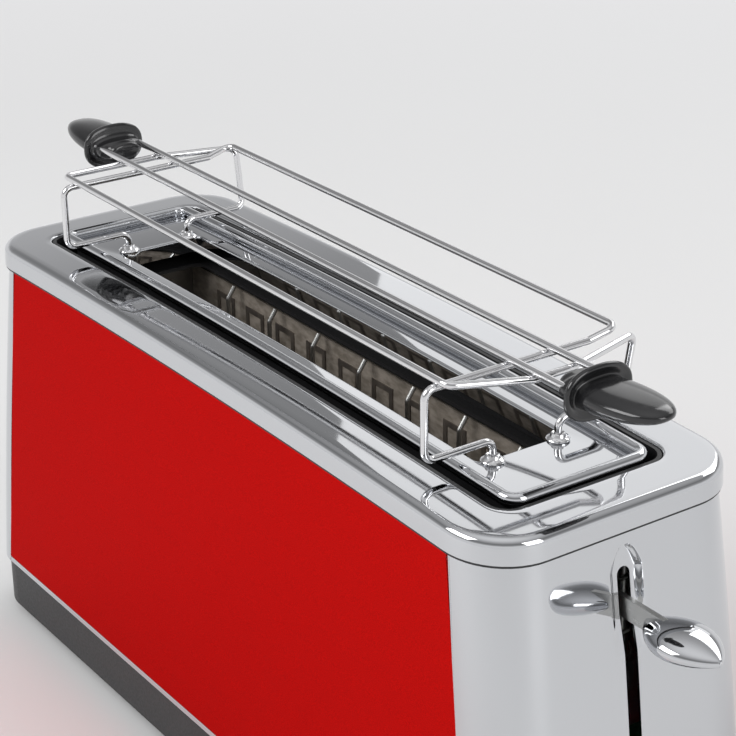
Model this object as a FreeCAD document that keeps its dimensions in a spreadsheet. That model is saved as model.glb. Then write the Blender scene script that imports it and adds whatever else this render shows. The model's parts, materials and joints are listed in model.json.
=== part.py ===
"""Long slot toaster with a removable bun warming rack.

Units are millimetres. +X points to the end with the lever and the controls, -Y to the
near side panel and +Z up. The origin is the centre of the footprint, on the worktop.
"""
import FreeCAD, Part
import math
import os

import Sketcher
from FreeCAD import Placement, Rotation, Vector

X_AXIS = Vector(1, 0, 0)
Y_AXIS = Vector(0, 1, 0)
Z_AXIS = Vector(0, 0, 1)
BEND_STEP = 30.0  # degrees that one straight run of a bent wire turns through
ENDS = (("control", 1), ("tail", -1))
SIDES = (("near", -1), ("far", 1))

# Driving sizes: alias, value, meaning
SIZES = (
    ("cover_half_length", 179.4, "top cover, half length at its lower edge"),
    ("cover_half_width", 57.5, "top cover, half width at its lower edge"),
    ("cover_corner", 24.0, "top cover, plan corner radius"),
    ("cover_bottom", 178.0, "height of the cover's lower edge at the ends"),
    ("cover_top", 187.0, "height of the cover's deck at the ends"),
    ("cover_sheet", 1.0, "sheet of the cover"),
    ("cover_draft", 3.0, "draft of the cover's rim, degrees"),
    ("cover_edge", 3.2, "rounding between deck and rim"),
    ("arch_rise", 3.4, "how far cover and collar rise from the ends to the middle"),
    ("cutout_half_length", 160.7, "opening in the cover, half length"),
    ("cutout_half_width", 37.7, "opening in the cover, half width"),
    ("cutout_corner", 9.0, "opening in the cover, corner radius"),
    ("cutout_lip", 5.0, "depth of the turned-down lip round the opening"),
    ("shell_top_half_length", 176.8, "body outline at shell_top, half length"),
    ("shell_mid_half_length", 188.2, "body outline at mid height, half length"),
    ("shell_low_half_length", 196.4, "body outline at shell_low, half length"),
    ("shell_top_half_width", 55.8, "body outline at shell_top, half width"),
    ("shell_low_half_width", 61.4, "body outline at shell_low, half width"),
    ("shell_top", 184.0, "height of the upper body outline"),
    ("shell_low", 28.0, "height of the body's lower edge"),
    ("shell_corner", 23.0, "body, corner radius"),
    ("shell_sheet", 1.2, "sheet of the end panels"),
    ("side_sheet", 1.0, "sheet of the painted side panels"),
    ("side_top_half_length", 155.6, "side panel, half length at shell_top"),
    ("side_low_half_length", 174.4, "side panel, half length at shell_low"),
    ("seam", 0.3, "gap between neighbouring panels"),
    ("panel_overlap", 3.0, "how far the panels reach up inside the cover"),
    ("strip_height", 2.6, "bright strip below the side panels"),
    ("rim_height", 188.0, "centre of the collar's rolled rim at the ends"),
    ("collar_half_length", 156.0, "rolled rim, half length between centres"),
    ("collar_half_width", 29.6, "rolled rim, half width between centres"),
    ("collar_corner", 5.0, "rolled rim, corner radius"),
    ("rim_radius", 2.2, "radius of the rolled rim"),
    ("collar_drop", 2.0, "from the rim's centre down to the collar's plate"),
    ("collar_sheet", 1.2, "sheet of the collar"),
    ("slot_half_length", 125.0, "toasting slot, half length"),
    ("slot_half_width", 19.0, "toasting slot, half width"),
    ("slot_corner", 3.0, "toasting slot, corner radius"),
    ("slot_lip", 7.0, "depth of the turned-down lip round the slot"),
    ("carrier_bottom", 172.0, "underside of the collar carrier"),
    ("carrier_wall", 1.6, "wall of the collar carrier"),
    ("fit_gap", 0.3, "gap between pieces that are fitted loosely"),
    ("rack_height", 35.8, "top rails above the rolled rim's centre"),
    ("rack_half_length", 130.9, "rack, half length to the inner end of the rails"),
    ("rack_half_width", 39.0, "rack, half width between the outer rails"),
    ("rack_wire", 1.4, "radius of the rack's wire"),
    ("rack_bulge", 10.0, "how far the outer cross wires bulge outwards"),
    ("rack_layer", 2.85, "height step between crossing wires"),
    ("rail_spacing", 8.8, "centre rails from the middle plane"),
    ("rail_half_length", 153.0, "centre rails, half length"),
    ("rail_seat", 2.5, "how deep the centre rails sit in the shields"),
    ("leg_x", 126.7, "rack legs from the middle, along the slot"),
    ("leg_y", 43.7, "rack legs from the middle, across the slot"),
    ("foot_rise", 6.8, "rack feet above the rolled rim's centre"),
    ("foot_end", 14.5, "inner end of the rack feet from the middle plane"),
    ("foot_seat", 0.15, "gap below the rack feet's ends"),
    ("wire_bend", 5.0, "bend radius of the rack's wire"),
    ("grip_half_width", 11.5, "rack grip, half width"),
    ("grip_length", 43.0, "rack grip, length outside its shield"),
    ("grip_half_height", 4.6, "rack grip, half height"),
    ("grip_rise", 8.0, "how far the rack grip rises to its tip"),
    ("shield_half_width", 14.5, "rack shield, half width"),
    ("shield_half_height", 10.0, "rack shield, half height"),
    ("shield_thickness", 4.0, "rack shield, thickness"),
    ("base_half_length", 194.6, "base, half length"),
    ("base_half_width", 59.8, "base, half width"),
    ("base_corner", 22.0, "base, corner radius"),
    ("base_bottom", 5.0, "underside of the base"),
    ("base_wall", 2.6, "walls of the base"),
    ("base_floor", 2.0, "floor of the base"),
    ("foot_radius", 9.0, "radius of the rubber feet"),
    ("foot_inset_x", 160.0, "rubber feet from the middle, lengthwise"),
    ("foot_inset_y", 46.0, "rubber feet from the middle, crosswise"),
    ("tray_play", 0.6, "side play of the crumb tray between its rails"),
    ("rail_end", 174.0, "tray rails of the base, half length"),
    ("rail_top", 24.0, "tops of the base's tray rails"),
    ("tray_half_width", 40.0, "crumb tray, half width"),
    ("tray_length", 330.0, "crumb tray, length inside the base"),
    ("tray_depth", 9.0, "height of the crumb tray's sides"),
    ("tray_sheet", 0.8, "sheet of the crumb tray"),
    ("tray_front", 3.6, "thickness of the tray's front"),
    ("bulkhead_x", 141.0, "inner faces of the bulkheads"),
    ("bulkhead_sheet", 1.0, "sheet of the bulkheads"),
    ("bulkhead_half_width", 50.0, "bulkheads, half width"),
    ("heater_y", 24.5, "inner face of the heater boards"),
    ("heater_sheet", 0.8, "thickness of the heater boards"),
    ("heater_low", 46.0, "lower edge of the heater boards"),
    ("heater_high", 168.0, "upper edge of the heater boards"),
    ("ribbon_width", 2.4, "width of the heating ribbon"),
    ("ribbon_thickness", 0.4, "thickness of the heating ribbon"),
    ("ribbon_turns", 10.0, "up and down runs of the heating ribbon"),
    ("reflector_y", 34.0, "inner face of the reflectors"),
    ("reflector_sheet", 0.6, "sheet of the reflectors"),
    ("guard_y", 17.6, "bread guards' upright wires from the middle plane"),
    ("guard_wire", 1.0, "radius of the bread guards' wire"),
    ("guard_pitch", 33.0, "spacing of the bread guards' uprights"),
    ("guard_high", 170.6, "tops of the bread guards' uprights"),
    ("guard_low", 50.0, "lower bar of the bread guards"),
    ("guard_bar", 136.0, "upper bar of the bread guards"),
    ("guard_close", 6.6, "how far each bread guard closes in"),
    ("guard_open", 1.2, "how far each bread guard moves out"),
    ("lift_top", 98.0, "upper face of the bread lift at rest"),
    ("lift_half_width", 8.0, "bread lift, half width"),
    ("lift_height", 5.0, "bread lift, height of its folded sides"),
    ("lift_sheet", 1.2, "sheet of the bread lift"),
    ("lever_travel", 55.0, "lever travel down from rest"),
    ("lever_extra", 10.0, "extra lift of the lever above rest"),
    ("carriage_x", 150.0, "inner face of the carriage"),
    ("carriage_sheet", 2.0, "sheet of the carriage"),
    ("rod_x", 157.5, "guide rods from the middle, along the slot"),
    ("rod_y", 20.0, "guide rods from the middle plane"),
    ("rod_radius", 2.5, "radius of the guide rods"),
    ("running_gap", 0.06, "radial running clearance"),
    ("spring_turns", 5.0, "turns of each return spring"),
    ("lever_height", 150.0, "middle of the lever at rest"),
    ("lever_slot_width", 5.6, "lever slot, width"),
    ("arm_thickness", 2.0, "lever arm, thickness"),
    ("arm_height", 8.0, "lever arm, height"),
    ("knob_inner", 191.0, "inner tip of the lever knob from the middle"),
    ("knob_length", 35.0, "lever knob, length"),
    ("knob_half_width", 11.5, "lever knob, half width"),
    ("knob_half_height", 5.0, "lever knob, half height"),
    ("knob_crown_along", 50.0, "radius of the knob's crown along its length"),
    ("knob_crown_across", 24.0, "radius of the knob's crown across it"),
    ("dial_height", 54.0, "height of the browning dial's axis"),
    ("dial_radius", 16.0, "radius of the browning dial"),
    ("dial_reach", 207.0, "outer face of the dial from the middle"),
    ("shaft_radius", 3.0, "radius of the dial's shaft"),
    ("button_height", 80.0, "height of the buttons' axes"),
    ("button_pitch", 19.0, "spacing of the buttons"),
    ("button_radius", 6.0, "radius of the buttons"),
    ("button_reach", 195.6, "outer face of the buttons from the middle"),
    ("button_travel", 2.0, "travel of the buttons"),
    ("board_x", 168.0, "inner face of the circuit board"),
    ("board_sheet", 1.6, "thickness of the circuit board"),
    ("inlet_x", 160.0, "cord gland from the middle, towards the tail"),
    ("inlet_height", 16.0, "height of the cord gland's axis"),
    ("inlet_bore", 3.6, "radius of the cord gland's bore"),
    ("gland_wall", 2.4, "wall of the cord gland round its bore"),
)


class Size:
    """A length held both as a number and as an expression on the spreadsheet."""

    def __init__(self, text, number):
        self.text = text
        self.number = float(number)

    def joined(self, sign, other, number):
        return Size("(%s %s %s)" % (self.text, sign, sized(other).text), number)

    def __add__(self, other):
        return self.joined("+", other, self.number + float(other))

    def __radd__(self, other):
        return sized(other) + self

    def __sub__(self, other):
        return self.joined("-", other, self.number - float(other))

    def __rsub__(self, other):
        return sized(other) - self

    def __mul__(self, other):
        return self.joined("*", other, self.number * float(other))

    def __rmul__(self, other):
        return sized(other) * self

    def __truediv__(self, other):
        return self.joined("/", other, self.number / float(other))

    def __neg__(self):
        return self * -1

    def __float__(self):
        return self.number


def sized(value):
    return value if isinstance(value, Size) else Size(repr(float(value)), value)


class Sheet:
    """The spreadsheet of driving sizes; each alias reads as an attribute."""

    def __init__(self, doc):
        self.cells = doc.addObject("Spreadsheet::Sheet", "Sizes")
        for row, (alias, number, meaning) in enumerate(SIZES, 1):
            self.cells.set("A%d" % row, meaning)
            self.cells.set("B%d" % row, repr(number))
            self.cells.setAlias("B%d" % row, alias)
        doc.recompute()

    def __getattr__(self, alias):
        return Size("Sizes." + alias, self.cells.get(alias))


doc = FreeCAD.newDocument("long_slot_toaster")
s = Sheet(doc)
nodes = {}


def bind(item, **values):
    """Set properties from sizes; double underscores stand for dots."""
    for name, value in values.items():
        item.setExpression(name.replace("__", "."), sized(value).text)
    return item


def node(name, item):
    """Name a finished sub-part; its label is the name of its file."""
    item.Label = name
    nodes[name] = item
    return item


# Part primitives and booleans

def box(name, low, high):
    """A box between two corners."""
    item = doc.addObject("Part::Box", name)
    for axis, length, a, b in zip("xyz", ("Length", "Width", "Height"), low, high):
        bind(item, **{"Placement__Base__" + axis: a, length: sized(b) - a})
    return item


def mirrored_box(name, x_range, half_y, z_range):
    return box(name, (x_range[0], -half_y, z_range[0]), (x_range[1], half_y, z_range[1]))


def cylinder(name, axis, start, length, radius):
    """A cylinder from a start point, along X, Y or Z."""
    item = doc.addObject("Part::Cylinder", name)
    turns = {"x": Rotation(Y_AXIS, 90), "y": Rotation(X_AXIS, -90), "z": Rotation()}
    item.Placement = Placement(Vector(*[float(c) for c in start]), turns[axis])
    for letter, value in zip("xyz", start):
        bind(item, **{"Placement__Base__" + letter: value})
    return bind(item, Radius=radius, Height=length)


def cut(name, base, *tools):
    for index, tool in enumerate(tools):
        item = doc.addObject("Part::Cut", "%s_cut_%d" % (name, index))
        item.Base, item.Tool = base, tool
        base = item
    return base


def common(name, base, tool):
    item = doc.addObject("Part::Common", name)
    item.Base, item.Tool = base, tool
    return item


def fuse(name, *shapes):
    item = doc.addObject("Part::MultiFuse", name)
    item.Shapes = list(shapes)
    item.Refine = True
    return item


def shape_node(name, shape, place=(0.0, 0.0, 0.0)):
    """An object that holds a shape made here, set down at a place."""
    item = doc.addObject("Part::Feature", name)
    item.Shape = shape
    item.Placement = Placement(Vector(*[float(c) for c in place]), Rotation())
    return item


# PartDesign bodies and sketches

def new_body(name):
    return doc.addObject("PartDesign::Body", name)


def new_sketch(body, role, offset=0.0):
    sketch = body.newObject("Sketcher::SketchObject", body.Name + "_sketch")
    plane = [f for f in body.Origin.OriginFeatures if f.Role == role][0]
    sketch.AttachmentSupport = [(plane, "")]
    sketch.MapMode = "FlatFace"
    return bind(sketch, AttachmentOffset__Base__z=offset)


def constrain(sketch, kind, *where, value=None):
    """Add a constraint, bound to the spreadsheet where it has a value."""
    if value is None:
        return sketch.addConstraint(Sketcher.Constraint(kind, *where))
    index = sketch.addConstraint(Sketcher.Constraint(kind, *where, float(value)))
    sketch.setExpression("Constraints[%d]" % index, sized(value).text)
    return index


def pin_point(sketch, geometry, point, x, y):
    constrain(sketch, "DistanceX", -1, 1, geometry, point, value=x)
    constrain(sketch, "DistanceY", -1, 1, geometry, point, value=y)


def draw_outline(sketch, points):
    """A closed outline of straight runs, each corner placed from the origin."""
    first = sketch.GeometryCount
    count = len(points)
    corners = [Vector(float(x), float(y), 0) for x, y in points]
    for index in range(count):
        line = Part.LineSegment(corners[index], corners[(index + 1) % count])
        sketch.addGeometry(line)
    for index in range(count):
        following = first + (index + 1) % count
        constrain(sketch, "Coincident", first + index, 2, following, 1)
        pin_point(sketch, first + index, 1, *points[index])


def draw_rounded(sketch, half_x, half_y, corner, middle=(0.0, 0.0)):
    """A rectangle with rounded corners about its middle."""
    first = sketch.GeometryCount
    cx, cy = (sized(c) for c in middle)
    right, left, top, low = cx + half_x, cx - half_x, cy + half_y, cy - half_y
    ends = (
        ((left + corner, low), (right - corner, low)),
        ((right, low + corner), (right, top - corner)),
        ((right - corner, top), (left + corner, top)),
        ((left, top - corner), (left, low + corner)),
    )
    for start, end in ends:
        line = Part.LineSegment(Vector(float(start[0]), float(start[1]), 0),
                                Vector(float(end[0]), float(end[1]), 0))
        sketch.addGeometry(line)
    centres = ((right - corner, low + corner), (right - corner, top - corner),
               (left + corner, top - corner), (left + corner, low + corner))
    for index, (x, y) in enumerate(centres):
        circle = Part.Circle(Vector(float(x), float(y), 0), Z_AXIS, float(corner))
        start = math.radians(90 * index - 90)
        sketch.addGeometry(Part.ArcOfCircle(circle, start, start + math.pi / 2))
    for index in range(4):
        arc = first + 4 + index
        constrain(sketch, "Tangent", first + index, 2, arc, 1)
        constrain(sketch, "Tangent", arc, 2, first + (index + 1) % 4, 1)
        constrain(sketch, "Vertical" if index % 2 else "Horizontal", first + index)
        if index:
            constrain(sketch, "Equal", first + 4, arc)
    constrain(sketch, "Radius", first + 4, value=corner)
    constrain(sketch, "DistanceY", -1, 1, first, 1, value=low)
    constrain(sketch, "DistanceX", -1, 1, first + 1, 1, value=right)
    constrain(sketch, "DistanceY", -1, 1, first + 2, 1, value=top)
    constrain(sketch, "DistanceX", -1, 1, first + 3, 1, value=left)


def draw_circle(sketch, x, y, radius):
    circle = Part.Circle(Vector(float(x), float(y), 0), Z_AXIS, float(radius))
    index = sketch.addGeometry(circle)
    constrain(sketch, "Radius", index, value=radius)
    pin_point(sketch, index, 3, x, y)


def draw_ellipse(sketch, half_x, half_y):
    """An ellipse about the origin, wider along the sketch's first axis."""
    ellipse = Part.Ellipse(Vector(0, 0, 0), float(half_x), float(half_y))
    index = sketch.addGeometry(ellipse)
    sketch.exposeInternalGeometry(index)
    constrain(sketch, "Coincident", index, 3, -1, 1)
    constrain(sketch, "Horizontal", index + 1)
    constrain(sketch, "Distance", index + 1, value=sized(half_x) * 2)
    constrain(sketch, "Distance", index + 2, value=sized(half_y) * 2)


def pad(body, sketch, length, backwards=False, both_ways=False, taper=0.0):
    item = body.newObject("PartDesign::Pad", body.Name + "_pad")
    item.Profile = sketch
    item.Reversed = backwards
    item.Midplane = both_ways
    sketch.Visibility = False
    return bind(item, Length=length, TaperAngle=taper)


def pocket_through(body, sketch):
    """Cut the sketch right through the body, both ways."""
    item = body.newObject("PartDesign::Pocket", body.Name + "_pocket")
    item.Profile = sketch
    item.Type = "ThroughAll"
    item.Midplane = True
    return item


def rounded_block(name, half_x, half_y, corner, z_range, taper=0.0, openings=()):
    """A rounded rectangle raised between two heights, with rounded openings."""
    body = new_body(name)
    sketch = new_sketch(body, "XY_Plane", z_range[0])
    draw_rounded(sketch, half_x, half_y, corner)
    for opening in openings:
        draw_rounded(sketch, *opening)
    pad(body, sketch, sized(z_range[1]) - z_range[0], taper=taper)
    return body


def edges_where(feature, wanted):
    """A feature with the names of its edges that are wanted."""
    doc.recompute()
    names = ["Edge%d" % index for index, edge in enumerate(feature.Shape.Edges, 1)
             if wanted(edge)]
    return (feature, names)


def arch_below(name, middle_height):
    """The space below a lengthwise arch whose middle is at the given height."""
    half = s.cover_half_length
    radius = (half * half + s.arch_rise * s.arch_rise) / (s.arch_rise * 2)
    drop = s.cover_top + s.arch_rise - middle_height
    reach = s.cover_half_width * 2
    return cylinder(name, "y", (0.0, -reach, middle_height - radius + drop), reach * 2,
                    radius - drop)


def arch_radius():
    """Radius of the deck's arch, as a number."""
    half, rise = float(s.cover_half_length), float(s.arch_rise)
    return (half * half + rise * rise) / (2 * rise)


def arch_drop(x):
    """How far the arch has fallen at a distance from the middle, as a number."""
    radius = arch_radius()
    return radius - math.sqrt(radius * radius - float(x) ** 2)


# Bent wires

def bent_path(points, bend):
    """Corner points of a bent wire: each bend becomes short runs on one radius."""
    corners = [Vector(*[float(c) for c in point]) for point in points]
    path = [corners[0]]
    for before, corner, after in zip(corners, corners[1:], corners[2:]):
        incoming = (corner - before).normalize()
        outgoing = (after - corner).normalize()
        turn = incoming.getAngle(outgoing)
        start = corner - incoming * (bend * math.tan(turn / 2))
        axis = incoming.cross(outgoing).normalize()
        centre = start + axis.cross(incoming) * bend
        runs = max(1, round(turn / math.radians(BEND_STEP)))
        for run in range(runs + 1):
            spin = Rotation(axis, math.degrees(turn) * run / runs)
            path.append(centre + spin.multVec(start - centre))
    path.append(corners[-1])
    return path


def wire_along(corners, radius):
    """Round wire of one radius along straight runs, mitred where they meet."""
    path = Part.makePolygon(corners)
    start = path.Edges[0]
    profile = Part.Wire([Part.makeCircle(float(radius), start.valueAt(start.FirstParameter),
                                         start.tangentAt(start.FirstParameter))])
    return path.makePipeShell([profile], True, False, 1)


def bent_rod(points, bend, radius):
    return wire_along(bent_path(points, float(bend)), radius)


# Outer shell

def top_cover():
    """Polished pressing: arched deck, rounded rim and a lipped opening."""
    deck = s.cover_top + s.arch_rise
    reach = s.cover_edge * 4
    outer = rounded_block("cover_outer", s.cover_half_length, s.cover_half_width,
                          s.cover_corner, (s.cover_bottom, s.cover_top + reach),
                          taper=-s.cover_draft)
    inner = rounded_block("cover_inner", s.cover_half_length - s.cover_sheet,
                          s.cover_half_width - s.cover_sheet,
                          s.cover_corner - s.cover_sheet,
                          (s.cover_bottom, s.cover_top + reach), taper=-s.cover_draft)
    skin = common("cover_skin", outer, arch_below("deck_arch", deck))
    rounded = doc.addObject("Part::Fillet", "cover_rounded")
    rounded.Base = skin
    doc.recompute()
    rounded.Edges = [(index, float(s.cover_edge), float(s.cover_edge))
                     for index in rim_edges(skin.Shape, s.cover_top - 1.0)]
    hollow = common("cover_hollow", inner, arch_below("hollow_arch", deck - s.cover_sheet))
    hollow_rounded = doc.addObject("Part::Chamfer", "cover_hollow_rounded")
    hollow_rounded.Base = hollow
    doc.recompute()
    inside = float(s.cover_edge) * 0.5
    hollow_rounded.Edges = [(index, inside, inside) for index in
                            rim_edges(hollow.Shape, s.cover_top - s.cover_sheet - 1.0)]
    lip = rounded_block("cover_lip", s.cutout_half_length + s.cover_sheet,
                        s.cutout_half_width + s.cover_sheet,
                        s.cutout_corner + s.cover_sheet,
                        (s.cover_top - s.cutout_lip, s.cover_top + reach))
    lip_arched = common("cover_lip_arched", lip, arch_below("lip_arch", deck - 0.4))
    opening = rounded_block("cover_opening", s.cutout_half_length, s.cutout_half_width,
                            s.cutout_corner, (s.cover_bottom - 5.0, s.cover_top + reach))
    under = arch_below("cover_under", s.cover_bottom + s.arch_rise)
    shell = cut("cover_shell", rounded, hollow_rounded)
    whole = fuse("cover_whole", shell, lip_arched)
    return node("top_cover", cut("cover", whole, opening, under))


def rim_edges(shape, above):
    """Numbers of the edges round the deck's outline."""
    return [index for index, edge in enumerate(shape.Edges, 1)
            if edge.BoundBox.ZMin > float(above)]


def shell_loft(name, inset):
    """The body's outline lofted through five heights, inset by a wall."""
    body = new_body(name)
    sketches = []
    for share in (0.0, 0.25, 0.5, 0.75, 1.0):
        height = s.shell_low + (s.shell_top - s.shell_low) * share
        half_width = (s.shell_low_half_width
                      - (s.shell_low_half_width - s.shell_top_half_width) * share)
        sketch = new_sketch(body, "XY_Plane", height)
        draw_rounded(sketch, shell_half_length(share) - inset, half_width - inset,
                     s.shell_corner - inset)
        sketches.append(sketch)
    doc.recompute()
    loft = body.newObject("PartDesign::AdditiveLoft", name + "_loft")
    loft.Profile = sketches[0]
    loft.Sections = sketches[1:]
    loft.Ruled = True
    return body


def shell_half_length(share):
    """Half length at a share of the height, on the curve through low, mid and top."""
    low = (1 - share) * (1 - 2 * share)
    mid = 4 * share * (1 - share)
    top = share * (2 * share - 1)
    return (s.shell_low_half_length * low + s.shell_mid_half_length * mid
            + s.shell_top_half_length * top)


def end_region(name, sign):
    """The part of the shell beyond the slanted edge of the side panels."""
    body = new_body(name)
    sketch = new_sketch(body, "XZ_Plane")
    low, top = s.shell_low - 1.0, s.shell_top + 1.0
    lean = (s.side_low_half_length - s.side_top_half_length) / (s.shell_top - s.shell_low)
    edge_low = s.side_low_half_length + s.seam + lean
    edge_top = s.side_top_half_length + s.seam - lean
    far = s.shell_low_half_length + 20.0
    draw_outline(sketch, ((edge_low * sign, low), (far * sign, low),
                          (far * sign, top), (edge_top * sign, top)))
    pad(body, sketch, s.shell_low_half_width * 3, both_ways=True)
    return body


def end_panel(side, sign):
    """Polished end pressing that wraps both corners."""
    name = side + "_panel"
    skin = cut(name + "_shell", shell_loft(name + "_outer", 0.0),
               shell_loft(name + "_inner", s.shell_sheet))
    part = common(name + "_part", skin, end_region(name + "_region", sign))
    top = s.cover_bottom + s.panel_overlap + s.arch_rise
    part = common(name + "_arched", part, arch_below(name + "_arch", top))
    if side == "control":
        part = cut(name + "_control", part, lever_slot(), *control_holes())
    return node(side + "_end_panel", part)


def lever_slot():
    """Round-topped upright slot for the lever arm."""
    half = s.lever_slot_width / 2
    top = s.lever_height + s.lever_extra + s.arm_height / 2
    low = s.lever_height - s.lever_travel - s.arm_height / 2
    body = new_body("lever_slot")
    sketch = new_sketch(body, "YZ_Plane", s.rod_x + 5.0)
    draw_rounded(sketch, half, (top - low) / 2 + s.seam, half - 0.01,
                 (0.0, (top + low) / 2))
    pad(body, sketch, 60.0)
    return body


def control_holes():
    dial = cylinder("dial_hole", "x", (s.rod_x + 5.0, 0.0, s.dial_height), 60.0,
                    s.shaft_radius + 2.0)
    holes = [dial]
    for index, _ in enumerate(BUTTONS):
        start = (s.rod_x + 5.0, s.button_pitch * (index - 1), s.button_height)
        holes.append(cylinder("button_hole_%d" % index, "x", start, 60.0,
                              s.button_radius + s.fit_gap))
    return holes


def side_lean():
    """Lean of the side panels from the upright, in degrees."""
    rise = float(s.shell_top) - float(s.shell_low)
    out = float(s.shell_low_half_width) - float(s.shell_top_half_width)
    return math.degrees(math.atan2(out, rise))


def side_plate(name, low, top):
    """A flat plate in the side panels' plane, seen square on, before it leans."""
    body = new_body(name)
    sketch = new_sketch(body, "XZ_Plane")
    lean = (s.side_low_half_length - s.side_top_half_length) / (s.shell_top - s.shell_low)
    edge_low = s.side_low_half_length - lean * (low - s.shell_low)
    edge_top = s.side_low_half_length - lean * (top - s.shell_low)
    base = s.shell_low
    draw_outline(sketch, ((-edge_low, low - base), (edge_low, low - base),
                          (edge_top, top - base), (-edge_top, top - base)))
    pad(body, sketch, s.side_sheet)
    return body


def lean_outwards(item, sign):
    """Stand a side plate on the shell's lower edge and lean it to the shell."""
    turn = Rotation(X_AXIS, -side_lean())
    if sign > 0:
        turn = Rotation(Z_AXIS, 180).multiply(turn)
    item.Placement = Placement(Vector(0, 0, 0), turn)
    bind(item, Placement__Base__y=(s.shell_low_half_width - s.side_sheet) * sign,
         Placement__Base__z=s.shell_low)
    return item


def side_panels():
    """Painted side panels between the end pressings, on a bright strip."""
    crown = s.cover_bottom + s.panel_overlap + s.arch_rise
    split = s.shell_low + s.strip_height
    for side, name, sign in (("near", "front", -1), ("far", "rear", 1)):
        plate = side_plate(name + "_plate", split + s.seam / 3, s.shell_top + 4.0)
        lean_outwards(plate, sign)
        arched = common(name + "_arched", plate, arch_below(name + "_arch", crown))
        node(name + "_side_panel", arched)
        strip = side_plate(name + "_strip", s.shell_low, split)
        node(name + "_bright_strip", lean_outwards(strip, sign))


# Collar, carrier and rack

def collar_arch(name, lift):
    """The arch through the rolled rim's centre, moved by a height."""
    drop = float(arch_drop(s.collar_half_length))
    return arch_below(name, s.rim_height + drop + lift)


def slot_collar():
    """Polished frame: rolled rim on a low web, flat plate and a lip round the slot."""
    low, high = s.carrier_bottom, s.rim_height + 10.0
    half_web = s.collar_sheet / 2
    slot = (s.slot_half_length, s.slot_half_width, s.slot_corner)
    outer = (s.collar_half_length + half_web, s.collar_half_width + half_web,
             s.collar_corner + half_web)
    inner = (s.collar_half_length - half_web, s.collar_half_width - half_web,
             s.collar_corner - half_web)
    plate_under = -s.collar_drop - s.collar_sheet
    plate = rounded_block("collar_ring", *outer, (low, high), openings=(slot,))
    plate = common("collar_top", plate, collar_arch("collar_top_arch", -s.collar_drop))
    web = rounded_block("collar_web", *outer, (low, high), openings=(inner,))
    web = common("collar_web_top", web, collar_arch("collar_web_arch", 0.0))
    frame = cut("collar_frame", fuse("collar_plate_web", plate, web),
                collar_arch("collar_low_arch", plate_under))
    lip = rounded_block("collar_lip", s.slot_half_length + s.collar_sheet,
                        s.slot_half_width + s.collar_sheet,
                        s.slot_corner + s.collar_sheet,
                        (s.rim_height - s.collar_drop - s.slot_lip, high), openings=(slot,))
    lip = common("collar_lip_top", lip, collar_arch("collar_lip_arch", -s.collar_drop - 0.3))
    rim = shape_node("collar_rim", rolled_rim())
    return node("slot_collar", fuse("collar_whole", frame, lip, rim))


def rolled_rim():
    """The rolled rim: arched long sides, level ends and round corners, in two halves."""
    length, width = float(s.collar_half_length), float(s.collar_half_width)
    corner, height = float(s.collar_corner), float(s.rim_height)
    crown = height + arch_drop(length)
    side = [Vector(share * length, -width, crown - arch_drop(share * length))
            for share in (0.16, 0.48, 0.8)]
    turn = bent_path(((0.8 * length, -width, side[-1].z), (length, -width, height),
                      (length, 0.0, height)), corner)
    quarter = [Vector(0, -width, side[0].z)] + side + turn[1:-1]
    half = quarter + [Vector(point.x, -point.y, point.z) for point in reversed(quarter)]
    first = wire_along(half, s.rim_radius)
    second = first.copy()
    second.rotate(Vector(0, 0, 0), Z_AXIS, 180)
    return first.fuse(second)


def slot_carrier():
    """Black moulding that fills the gap between the cover and the collar."""
    low, high = s.carrier_bottom, s.cover_top + 10.0
    gap = s.fit_gap
    outer = (s.cutout_half_length - gap, s.cutout_half_width - gap, s.cutout_corner - gap)
    wall = s.carrier_wall
    inner = (outer[0] - wall, outer[1] - wall, outer[2] - wall)
    hole = (s.slot_half_length + s.collar_sheet + gap, s.slot_half_width + s.collar_sheet + gap,
            s.slot_corner + s.collar_sheet + gap)
    skirt = rounded_block("carrier_skirt", *outer, (low, high), openings=(inner,))
    skirt = common("carrier_skirt_arched", skirt,
                   arch_below("carrier_arch", s.cover_top + s.arch_rise - 0.8))
    floor = rounded_block("carrier_floor", *outer, (low, low + wall), openings=(hole,))
    rest = (s.collar_half_length - 2.0, s.collar_half_width - 2.0, s.collar_corner)
    rest_inner = (rest[0] - wall, rest[1] - wall, rest[2] - wall)
    stand = rounded_block("carrier_stand", *rest, (low, high), openings=(rest_inner,))
    stand = common("carrier_stand_arched", stand,
                   collar_arch("carrier_stand_arch", -s.collar_drop - s.collar_sheet - 0.02))
    return node("slot_carrier", fuse("carrier_whole", skirt, floor, stand))


def rack_top():
    return s.rim_height + s.rack_height


def rack_wire_near():
    """Near rail, both outer cross wires and both far legs, in one wire."""
    top = float(rack_top())
    low = top - float(s.rack_layer)
    half, width = float(s.rack_half_length), float(s.rack_half_width)
    bulge = half + float(s.rack_bulge)
    rail = float(s.rail_spacing)
    leg_x, leg_y = float(s.leg_x), float(s.leg_y)
    rise = float(s.rim_height + s.foot_rise)
    turn_x = half + 2.5
    end = [(turn_x, -width, top), (bulge, -rail, low), (bulge, rail, low),
           (leg_x + 4.5, leg_y, low), (leg_x, leg_y, rise),
           (leg_x, float(s.foot_end), rise), (leg_x, float(s.foot_end), foot_bottom())]
    tail = [(-x, y, z) for x, y, z in reversed(end)]
    return node("rack_wire_near", shape_node("rack_wire_near",
                bent_rod(tail + end, s.wire_bend * 0.8, s.rack_wire)))


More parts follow.
